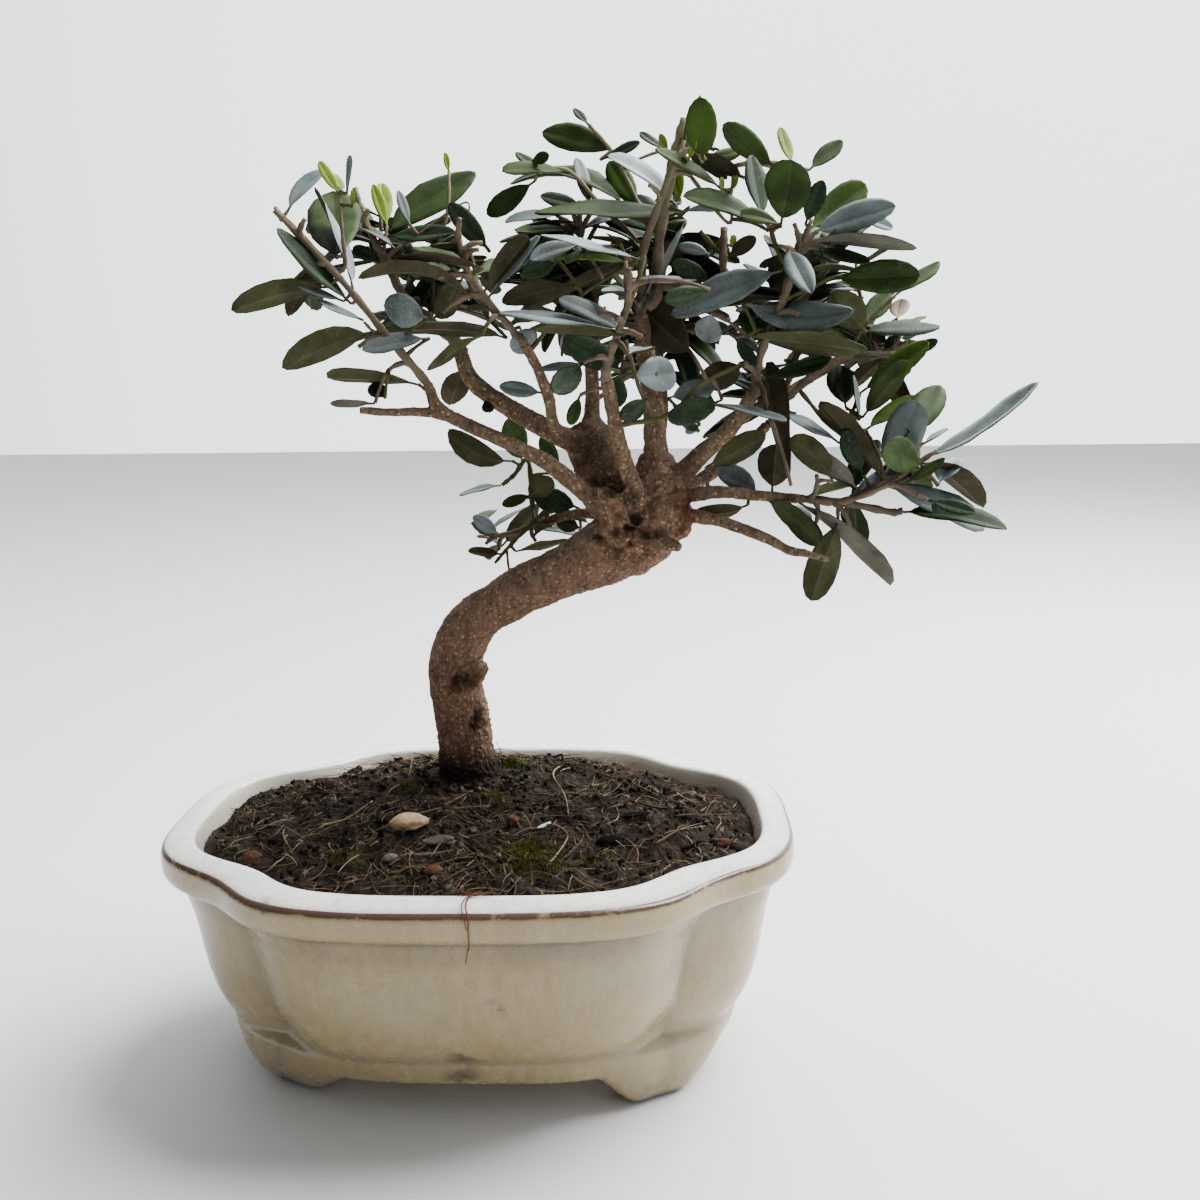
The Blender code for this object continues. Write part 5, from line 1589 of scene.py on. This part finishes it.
# Twigs that stand out: radius at the root and at the end, then places in the same measure, root first
plainTwigs = {
    "foliage_left_low": [
        (1.3, 0.95, [(342, 278), (310, 245), (278, 212)]), (0.9, 0.6, [(345, 265), (342, 230), (340, 193)]),
        (0.8, 0.6, [(397, 345), (375, 333), (364, 322)]), (0.9, 0.7, [(437, 398), (418, 384)]),
    ],
    "foliage_left_upper": [
        (1.35, 1.15, [(404, 293), (393, 274), (385, 257), (374, 240), (362, 212), (355, 188)]),
        (0.9, 0.7, [(385, 255), (387, 226)]), (0.45, 0.3, [(463, 203), (467, 219), (457, 231)]),
        (0.9, 0.7, [(430, 262), (447, 215), (449, 172)]),
    ],
    "foliage_left_inner": [
        (
            1.75, 1.25,
            [(556, 420), (549, 391), (535, 365), (518, 338), (499, 315), (476, 296), (464, 262), (456, 231)],
        ),
        (0.9, 0.7, [(476, 298), (490, 320), (507, 338)]), (0.9, 0.7, [(530, 350), (575, 300), (640, 258)]),
    ],
    "foliage_top_left": [
        (1.0, 0.8, [(640, 250), (600, 205), (570, 172), (540, 168)]),
        (1.0, 0.8, [(650, 235), (632, 190), (612, 152), (590, 126)]),
    ],
    "foliage_leader": [
        (2.5, 1.9, [(655, 300), (660, 230), (675, 156), (684.6, 119)]),
        (0.8, 0.6, [(728, 223), (731, 195), (734, 166)]),
        (1.7, 1.6, [(721, 290), (723, 262), (724, 228)]), (1.0, 0.9, [(719, 252), (700, 231)]),
    ],
    "foliage_right": [
        (1.6, 1.3, [(782, 304), (792, 271), (802, 234)]), (1.2, 0.9, [(789, 272), (778, 250), (770, 228)]),
        (0.9, 0.7, [(787, 302), (810, 288), (832, 276)]), (0.8, 0.7, [(760, 330), (746, 336)]),
    ],
    "foliage_right_upper": [
        (1.7, 1.4, [(787, 398), (820, 370), (848, 357), (895, 354)]),
        (0.9, 0.7, [(848, 357), (856, 340), (864, 326)]),
        (0.8, 0.7, [(862, 326), (880, 310), (895, 296)]), (0.9, 0.8, [(835, 430), (850, 415), (860, 394)]),
    ],
    "foliage_front": [
        (1.0, 0.8, [(668, 415), (700, 385), (745, 362)]), (0.9, 0.7, [(655, 420), (640, 390), (626, 340)]),
    ],
    "foliage_right_low": [
        (1.7, 1.4, [(780, 495), (840, 502), (891, 512), (903, 510)]),
        (1.1, 0.9, [(849, 500), (884, 481), (906, 471), (925, 458)]),
        (0.9, 0.7, [(884, 481), (878, 455), (866, 430)]), (0.8, 0.7, [(838, 502), (838, 520)]),
    ],
    "foliage_back_low": [
        (1.2, 0.85, [(545, 512), (525, 530), (505, 551)]), (0.8, 0.7, [(505, 551), (495, 563)]),
        (0.6, 0.5, [(508, 550), (509, 572)]),
        (1.2, 1.0, [(528, 460), (514, 475), (502, 485)]),
    ],
}
# Where the sky shows through the crown, and where the crown is thick, in the same measure, with a radius
skyGaps = [
    (430, 360, 18), (505, 360, 20), (555, 385, 12), (712, 225, 7), (748, 230, 6), (775, 350, 12),
    (820, 400, 16),
    (645, 455, 5), (300, 250, 12), (330, 325, 10), (400, 350, 10), (455, 340, 9), (530, 395, 12),
    (590, 430, 14), (745, 258, 4),
    (615, 303, 5), (350, 355, 6), (470, 190, 8), (425, 195, 6), (375, 300, 8), (480, 380, 14), (900, 385, 5),
    (820, 580, 8),
]
crownZones = [
    (335, 235, 48), (300, 292, 34), (330, 350, 46), (375, 385, 30), (400, 320, 36), (345, 190, 32),
    (400, 225, 50), (440, 215, 48),
    (430, 285, 36), (455, 390, 28), (520, 195, 46), (480, 250, 50), (540, 260, 52), (545, 310, 50),
    (500, 300, 42), (590, 300, 48),
    (595, 355, 46), (575, 150, 40), (620, 180, 52), (660, 200, 52), (702, 128, 34), (745, 150, 34),
    (700, 175, 58), (640, 240, 60),
    (760, 205, 60), (806, 190, 48), (700, 260, 60), (830, 212, 42), (866, 228, 42), (660, 330, 60),
    (720, 300, 60), (780, 290, 52),
    (835, 290, 52), (885, 300, 44), (905, 328, 30), (690, 380, 50), (740, 370, 48), (800, 330, 50),
    (860, 350, 42), (735, 440, 36),
    (765, 450, 36), (882, 380, 42), (900, 420, 46), (850, 450, 50), (905, 460, 46), (945, 500, 48),
    (850, 540, 40), (828, 565, 32),
    (800, 520, 32), (520, 430, 30), (460, 448, 30), (535, 500, 46), (500, 530, 32), (562, 520, 26),
]


# How stems and twigs grow: bend of a curve, a stem's radius as a share of its bough's end, how many mm nearer
# a twig that leans forward counts, the turn from one side twig to the next, and their shortest and longest
growth = {"bend": 0.45, "stemShare": 0.92, "forward": 14.0, "turn": 2.4, "shortest": 12, "longest": 28}


def curveTo(start, heading, end, steps):
    turn = start + heading * (end - start).length * growth["bend"]
    way = []
    for i in range(steps + 1):
        t = i / steps
        way.append((1 - t) ** 2 * start + 2 * t * (1 - t) * turn + t * t * end)
    return way


def stemOf(name):
    bough, _, way, _ = masses[name]
    path, radii = limbLine(bough)
    heading = (path[-1] - path[-2]).normalized()
    start = path[-1] - heading * 2.0
    points = smoothSteps([start, path[-1] + heading * 3.0] + way, 6 * (len(way) + 1) + 1)
    return Shoot([Vector(p) for p in points], radii[-1] * growth["stemShare"], 1.0)


def reachingTwig(stem, tip, leafLength):
    tip = Vector(tip)
    total = stem.length()
    best = None
    for i in range(2, 20):
        place, heading = stem.at(total * i / 20)
        cost = (tip - place).length - growth["forward"] * (tip - place).normalized().dot(heading)
        if best is None or cost < best[0]:
            best = (cost, place, heading)
    cost, place, heading = best
    away = (tip - place).length
    blade = min(leafLength, away * 0.8)
    if away < leafLength * 1.15:
        blade = away * 0.72
    end = tip - (tip - place).normalized() * blade
    path = curveTo(place, (heading + (tip - place).normalized()).normalized(), end, 6)
    return Shoot(path, 1.3, 0.85, tip)


toneDeal = {
    "foliage_left_low": ("deep", "green", "glaucous", "green"),
    "foliage_left_upper": ("deep", "green", "deep", "glaucous"),
    "foliage_left_inner": ("deep", "green", "green", "glaucous"),
    "foliage_top_left": ("green", "fresh", "deep", "glaucous"),
    "foliage_leader": ("green", "fresh", "green", "glaucous"),
    "foliage_front": ("glaucous", "silver", "deep", "green"),
    "foliage_right": ("green", "glaucous", "fresh", "deep"),
    "foliage_right_upper": ("green", "fresh", "deep", "glaucous"),
    "foliage_right_low": ("glaucous", "green", "deep", "silver"),
    "foliage_back": ("deep", "green", "deep", "glaucous"),
    "foliage_back_right": ("deep", "green", "deep", "glaucous"),
    "foliage_back_low": ("green", "deep", "fresh", "glaucous"),
}


def samples(path, step=4.0):
    found = []
    for a, b in zip(path, path[1:]):
        count = max(1, int((b - a).length / step))
        found += [a.lerp(b, i / count) for i in range(count)]
    return found + [path[-1]]


# line of sight through a place of the view, and a place that far along it
def sightLine(u, v):
    local = Vector(((u - 600) / focal, (600 - v) / focal, -1))
    return Vector(np.array(eyeAxes) @ np.array(local))


def placeSeen(u, v, depth):
    return eyePlace + sightLine(u, v) * depth


# where points show in the view, and their depths from the eye
def seenAt(points):
    local = (np.atleast_2d(np.array([list(p) for p in points])) - np.array(eyePlace)) @ np.array(eyeAxes)
    depth = -local[:, 2]
    return np.stack([600 + focal * local[:, 0] / depth, 600 - focal * local[:, 1] / depth], -1), depth


# the nearest limb or twig that a place of the view can hang from
class Carriers:
    def __init__(self):
        self.places = np.empty((0, 3))

    def add(self, path):
        self.places = np.vstack([self.places, np.array([list(p) for p in samples(path, 1.0)])])

    def nearest(self, u, v):
        spots, depths = seenAt(self.places)
        away = np.linalg.norm(spots - np.array([u, v]), axis=1)
        k = int(np.argmin(away + 0.02 * (depths - depths.min())))
        return Vector(self.places[k]), float(depths[k]), float(away[k])


def hangTwig(mark, carriers, rng):
    thick, thin, way = mark
    base, depth, away = carriers.nearest(*way[0])
    lean = rng.uniform(-5, 5)
    knots = [base] if away > 4 else []
    for k, (u, v) in enumerate(way):
        knots.append(placeSeen(u, v, depth + lean * k / (len(way) - 1)))
    if away <= 4:
        knots[0] = base
    points = [Vector(p) for p in smoothSteps([tuple(p) for p in knots], 6 * (len(knots) - 1) + 1)]
    return Shoot(points, thick, thin)


def hangLeaf(mark, carriers, rng):
    rootU, rootV, tipU, tipV, wide, tone, bow = mark
    base, depth, _ = carriers.nearest(rootU, rootV)
    root = placeSeen(rootU, rootV, depth)
    perMm = focal / depth
    flat = math.hypot(tipU - rootU, tipV - rootV) / perMm
    shown = wide / perMm
    length = min(max(flat * 1.06, shown / 0.44, leafKinds["shortest"]), leafKinds["longest"])
    deep = math.sqrt(max(length**2 - flat**2, 0)) * rng.choice((-1, -1, 1))
    tip = placeSeen(tipU, tipV, depth + deep)
    toEye = (eyePlace - (root + tip) / 2).normalized()
    heading = (tip - root).normalized()
    toEye = (toEye - heading * toEye.dot(heading)).normalized()
    across = heading.cross(toEye).normalized()
    if across.z < 0:
        across = -across
    width = max((tip - root).length * leafKinds["slenderness"], shown)
    show = min(max(shown / width, 0.1), 0.985)
    under = tone in underTones
    face = toEye * (-show if under else show) + across * math.sqrt(1 - show * show)
    lift = Vector(across if abs(across.z) > 0.2 else up) * (bow / perMm)
    twiglet = None
    if (root - base).length > 0.9:
        middle = base.lerp(root, 0.5) + up * 0.15 * (root - base).length
        twiglet = Shoot(curveTo(base, (middle - base).normalized(), root, 4), 0.85, 0.62)
    grown = Leaf(
        root, tip, face, width, "green" if under else tone,
        tone if under else rng.choice(("underGreen", "underOlive")),
        bow=lift, twist=rng.uniform(-0.3, 0.3), fold=rng.uniform(0.08, 0.24),
    )
    return grown, twiglet


# keeps the leaves that the rule grows off the open gaps, inside the outline and behind the plain leaves
class Showing:
    def __init__(self):
        self.gaps = np.array(skyGaps, float)
        self.zones = np.array(crownZones, float)
        self.lines, self.depths, self.halves = np.empty((0, 2)), np.empty(0), np.empty(0)

    def mark(self, leaf):
        along = np.linspace(0.06, 1.0, 13)
        spots, depths = seenAt([leaf.centre(u) for u in along])
        sides, _ = seenAt(
            [leaf.centre(0.5) + leaf.side * leaf.width / 2, leaf.centre(0.5) - leaf.side * leaf.width / 2]
        )
        half = np.linalg.norm(sides[0] - sides[1]) / 2
        self.lines = np.vstack([self.lines, spots])
        self.depths = np.concatenate([self.depths, depths])
        self.halves = np.concatenate([self.halves, half * (4 * along * (1 - along)) ** 0.5])

    def allows(self, outline, hide=4.0):
        spots, depths = seenAt(outline)
        away = np.linalg.norm(spots[:, None] - self.gaps[None, :, :2], axis=2)
        if (away < self.gaps[None, :, 2] + 2).any():
            return False
        away = np.linalg.norm(spots[:, None] - self.zones[None, :, :2], axis=2)
        if not (away < self.zones[None, :, 2]).any(axis=1).all():
            return False
        away = np.linalg.norm(spots[:, None] - self.lines[None], axis=2) - self.halves[None] * 0.8
        return not ((away < hide) & (depths[:, None] < self.depths[None] + 2)).any()


# the room each mass keeps to, clear of every limb and inside the crown
class Room:
    def __init__(self, skeletons, limbs):
        self.skeletons = {name: np.array([list(p) for p in points]) for name, points in skeletons.items()}
        self.limbs = np.array([(*place, radius) for place, radius in limbs])
        self.taken = np.empty((0, 3))

    def holds(self, name, points, slack=3.0, limbGap=1.0):
        points = np.array([list(p) for p in points])
        own = self.nearest(points, self.skeletons[name])
        for other, skeleton in self.skeletons.items():
            if other != name and (own > self.nearest(points, skeleton) + slack).any():
                return False
        gaps = np.linalg.norm(points[:, None] - self.limbs[None, :, :3], axis=2)
        if (gaps < self.limbs[None, :, 3] + limbGap).any():
            return False
        return bool((points[:, 2] < leafKinds["top"]).all() and (points[:, 2] > leafKinds["foot"]).all())

    def free(self, outline, clear):
        if not len(self.taken):
            return True
        return self.nearest(outline, self.taken).min() > clear

    def take(self, outline):
        self.taken = np.vstack([self.taken, outline])

    @staticmethod
    def nearest(points, cloud):
        return np.linalg.norm(points[:, None] - cloud[None], axis=2).min(axis=1)


def ruledLeaf(place, way, length, lean, tone, rng):
    face = up - way * up.dot(way) + lean
    droop = leafKinds["droop"] * rng.uniform(0.4, 1.4)
    side = way.cross(face).normalized()
    normal = side.cross(way)
    tip = place + length * (way * math.cos(droop * 0.5) - normal * math.sin(droop * 0.5))
    width = length * leafKinds["slenderness"] * rng.uniform(0.82, 1.18)
    bow = (normal * droop * 0.2 + side * rng.uniform(-0.04, 0.04)) * length
    return Leaf(
        place, tip, normal, width, tone, rng.choice(("underGreen", "underOlive", "underBrown")),
        bow=bow, twist=rng.uniform(-0.35, 0.35), fold=rng.uniform(0.12, 0.34),
    )


def crossOf(heading):
    return heading.cross(up if abs(heading.z) < 0.9 else Vector((1, 0, 0))).normalized()


def leanOf(rng):
    return Vector((rng.uniform(-1, 1), rng.uniform(-1, 0.6), 0)) * 0.6


def leavesOn(shoot, name, leafLength, room, showing, rng, bare, kept):
    total = shoot.length()
    turn = rng.uniform(0, math.tau)
    distance = bare
    tones = toneDeal[name]
    while distance < total - 1.0:
        place, heading = shoot.at(distance)
        across = crossOf(heading)
        for half in (0, math.pi):
            outward = Quaternion(heading, turn + half) @ across
            tilt = math.radians(leafKinds["angle"] + rng.uniform(-12, 12))
            way = heading * math.cos(tilt) + outward * math.sin(tilt)
            way.z *= leafKinds["level"]
            way.normalize()
            length = leafLength * rng.uniform(0.7, 1.0)
            lean = leanOf(rng)
            tone = rng.choice(tones)
            for share in (1.0, 0.75, 0.55):
                grown = ruledLeaf(place, way, length * share, lean, tone, rng)
                outline = grown.outline()
                fits = room.holds(name, outline) and room.free(outline[3:], leafKinds["clear"])
                if fits and showing.allows(outline):
                    kept.append(grown)
                    room.take(outline)
                    break
        turn += math.pi / 2
        distance += leafKinds["spacing"]
    place, heading = shoot.at(total)
    if shoot.tipLeaf:
        way = (shoot.tipLeaf - place).normalized()
        length = (shoot.tipLeaf - place).length
        grown = ruledLeaf(place - way * 0.6, way, length, Vector((0, 0, 0)), rng.choice(tones), rng)
        grown = Leaf(
            place - way * 0.6,
            shoot.tipLeaf,
            grown.face,
            length * 0.34,
            rng.choice(tones),
            bow=grown.face * 0.07 * length,
        )
    else:
        grown = ruledLeaf(
            place - heading * 0.6, heading, leafLength * 0.75, Vector((0, 0, 0)), rng.choice(tones), rng
        )
    outline = grown.outline()
    fits = room.holds(name, outline[6:]) and room.free(outline[3:], leafKinds["clear"])
    if fits and showing.allows(outline[3:], 3.0):
        kept.append(grown)
        room.take(outline)


# more leaves on short stalks, wherever there is still room
def fillLeaves(twigs, name, leafLength, room, showing, rng, kept):
    tones = toneDeal[name]
    for _ in range(leafKinds["fillTries"]):
        twig = rng.choice(twigs)
        place, heading = twig.at(twig.length() * rng.uniform(0.15, 1.0))
        outward = Vector((rng.uniform(-1, 1), rng.uniform(-1, 1), rng.uniform(-0.45, 0.6)))
        way = (outward - heading * outward.dot(heading) * 0.5).normalized()
        lean = leanOf(rng)
        grown = ruledLeaf(place, way, leafLength * rng.uniform(0.5, 0.95), lean, rng.choice(tones), rng)
        outline = grown.outline()
        fits = room.free(outline[3:], leafKinds["fillClear"]) and room.holds(name, outline, slack=5.0)
        if fits and showing.allows(outline, 2.0):
            kept.append(grown)
            room.take(outline)


def sideTwigs(stem, name, room, showing, rng, first=12.0):
    kept = []
    total = stem.length()
    distance = first
    turn = rng.uniform(0, math.tau)
    while distance < total - 4:
        place, heading = stem.at(distance)
        across = crossOf(heading)
        outward = Quaternion(heading, turn) @ across
        length = rng.uniform(growth["shortest"], growth["longest"])
        wanted = rng.random() < leafKinds["sideChance"]
        way = (heading * 0.7 + outward + up * 0.2).normalized()
        path = curveTo(place, outward, place + way * length, 5)
        if wanted and room.holds(name, samples(path)[2:]) and showing.allows(samples(path)[1:], 0.0):
            kept.append(Shoot(path, 1.0, 0.75))
        turn += growth["turn"]
        distance += leafKinds["spacing"]
    return kept


def growCrown():
    stems = {name: stemOf(name) for name in masses}
    reaching, skeletons = {}, {}
    for name, (_, leafLength, _, tips) in masses.items():
        reaching[name] = [reachingTwig(stems[name], tip, leafLength) for tip in tips]
        points = samples(stems[name].path)
        for twig in reaching[name]:
            points += samples(twig.path)
        skeletons[name] = points
    limbs = [(p, r) for path, radii in limbStations() for p, r in zip(path[::2], radii[::2])]
    limbs = [pair for pair in limbs if pair[0].z > 150]
    room, showing = Room(skeletons, limbs), Showing()
    shoots, leaves = [], []
    # the plain twigs and leaves come first, and the rule fills in behind them
    for number, name in enumerate(masses):
        rng = random.Random(300 + number)
        carriers = Carriers()
        carriers.add(stems[name].path)
        carriers.add(limbLine(masses[name][0])[0])
        for twig in reaching[name]:
            carriers.add(twig.path)
        for mark in plainTwigs.get(name, ()):
            twig = hangTwig(mark, carriers, rng)
            carriers.add(twig.path)
            shoots.append(twig)
        for mark in plainLeaves.get(name, ()):
            leaf, twiglet = hangLeaf(mark, carriers, rng)
            leaves.append(leaf)
            room.take(leaf.outline())
            showing.mark(leaf)
            if twiglet:
                shoots.append(twiglet)
    print(len(leaves), "plain leaves", len(shoots), "plain twigs")
    for number, name in enumerate(masses):
        rng = random.Random(100 + number)
        leafLength = masses[name][1]
        twigs = [t for t in reaching[name] if room.holds(name, samples(t.path)[4:], slack=6.0)]
        twigs += sideTwigs(stems[name], name, room, showing, rng)
        for twig in list(twigs):
            if twig.length() > 22:
                twigs += sideTwigs(twig, name, room, showing, rng, 8.0)
        kept = []
        for twig in twigs:
            leavesOn(twig, name, leafLength, room, showing, rng, 4.0, kept)
        leavesOn(stems[name], name, leafLength, room, showing, rng, 8.0, kept)
        fillLeaves([stems[name]] + twigs, name, leafLength, room, showing, rng, kept)
        shoots += [stems[name]] + twigs
        leaves += kept
        print(name, len(twigs), "twigs", len(kept), "leaves")
    return shoots, leaves


def makeLeaves(leaves, materials):
    rng = random.Random(77)
    gathered = Gathered()
    for leaf in leaves:
        gathered.add(*leaf.mesh(rng))
    return rideOn(gathered.piece("leafBlades", materials), "leaf", *masses)


def makeTwigs(shoots, bark, green):
    rng = random.Random(78)
    gathered = Gathered()
    for shoot in shoots:
        path = shoot.path
        radii = [
            r * (1 + 0.18 * math.sin(i * 2.1)) * rng.uniform(0.94, 1.06) for i, r in enumerate(shoot.radii())
        ]
        points, faces = tubeMesh(path, radii, 7)
        gathered.add(points, faces, 0 if shoot.thick > 1.2 else rng.choice((0, 1)))
    return rideOn(gathered.piece("twigs", [bark, green]), "bark", *masses)


def twigMaterial(name, colour, paleAbove=0.0):
    made = newMaterial(name, colour, 0.8, gloss=0.06)
    n = Nodes(made)
    base = n.mix(n.remap(n.noise(120, 4), 0.35, 0.65), shade(colour, 0.7), shade(colour, 1.4))
    base = n.mix(n.remap(n.cells(420), 0.05, 0.2, 0.4, 0), base, shade(colour, 2.4))
    if paleAbove:
        base = n.mix(n.remap(n.high(), paleAbove, paleAbove + 0.02, 0.0, 0.85), base, (0.23, 0.20, 0.12))
    n.colour(base)
    n.bump(n.noise(700, 4), 0.0004, 0.5)
    return made


def earthMaterial(name, colour):
    made = newMaterial(name, colour, 0.95, gloss=0.05)
    n = Nodes(made)
    base = n.mix(n.remap(n.noise(180, 5, 0.7), 0.35, 0.68), shade(colour, 0.5), shade(colour, 1.7))
    n.colour(base)
    n.bump(n.plus(n.noise(600, 6, 0.75), n.noise(170, 4)), 0.0012, 0.8)
    return made


makeCamera()
makeStudio()
glaze = creamGlaze()
potBody = makePot(glaze)
print("pot", len(potBody.data.polygons), "faces")

earths = [
    earthMaterial("darkEarth", (0.0300, 0.0235, 0.0185)),
    earthMaterial("blackEarth", (0.0060, 0.0050, 0.0043)),
    earthMaterial("greyLitter", (0.105, 0.088, 0.076)),
    earthMaterial("palePebble", (0.46, 0.33, 0.19)),
    earthMaterial("whiteChip", (0.72, 0.71, 0.68)),
    earthMaterial("redStone", (0.090, 0.043, 0.027)),
]
makeSoil(earths[0])
makeCrumbs(earths)
makeMoss(
    [earthMaterial("oliveMoss", (0.105, 0.108, 0.017)), earthMaterial("darkMoss", (0.050, 0.058, 0.010))]
)
fibres = [
    twigMaterial("paleFibre", (0.21, 0.155, 0.095)),
    twigMaterial("brownFibre", (0.095, 0.066, 0.043)),
    twigMaterial("darkFibre", (0.040, 0.028, 0.020)),
    twigMaterial("rootFibre", (0.105, 0.042, 0.020)),
]
makeThreads(fibres)
print("soil")
bark = makeBark(oliveBark())
print("bark", len(bark.data.polygons), "faces")
shoots, leaves = growCrown()
blades = makeLeaves(leaves, leafMaterials())
twigs = makeTwigs(
    shoots,
    twigMaterial("twigBark", (0.100, 0.076, 0.052), 0.326),
    twigMaterial("twigGreen", (0.060, 0.060, 0.024), 0.336),
)
print(len(leaves), "leaves", len(blades.data.polygons), "faces, twigs", len(twigs.data.polygons), "faces")
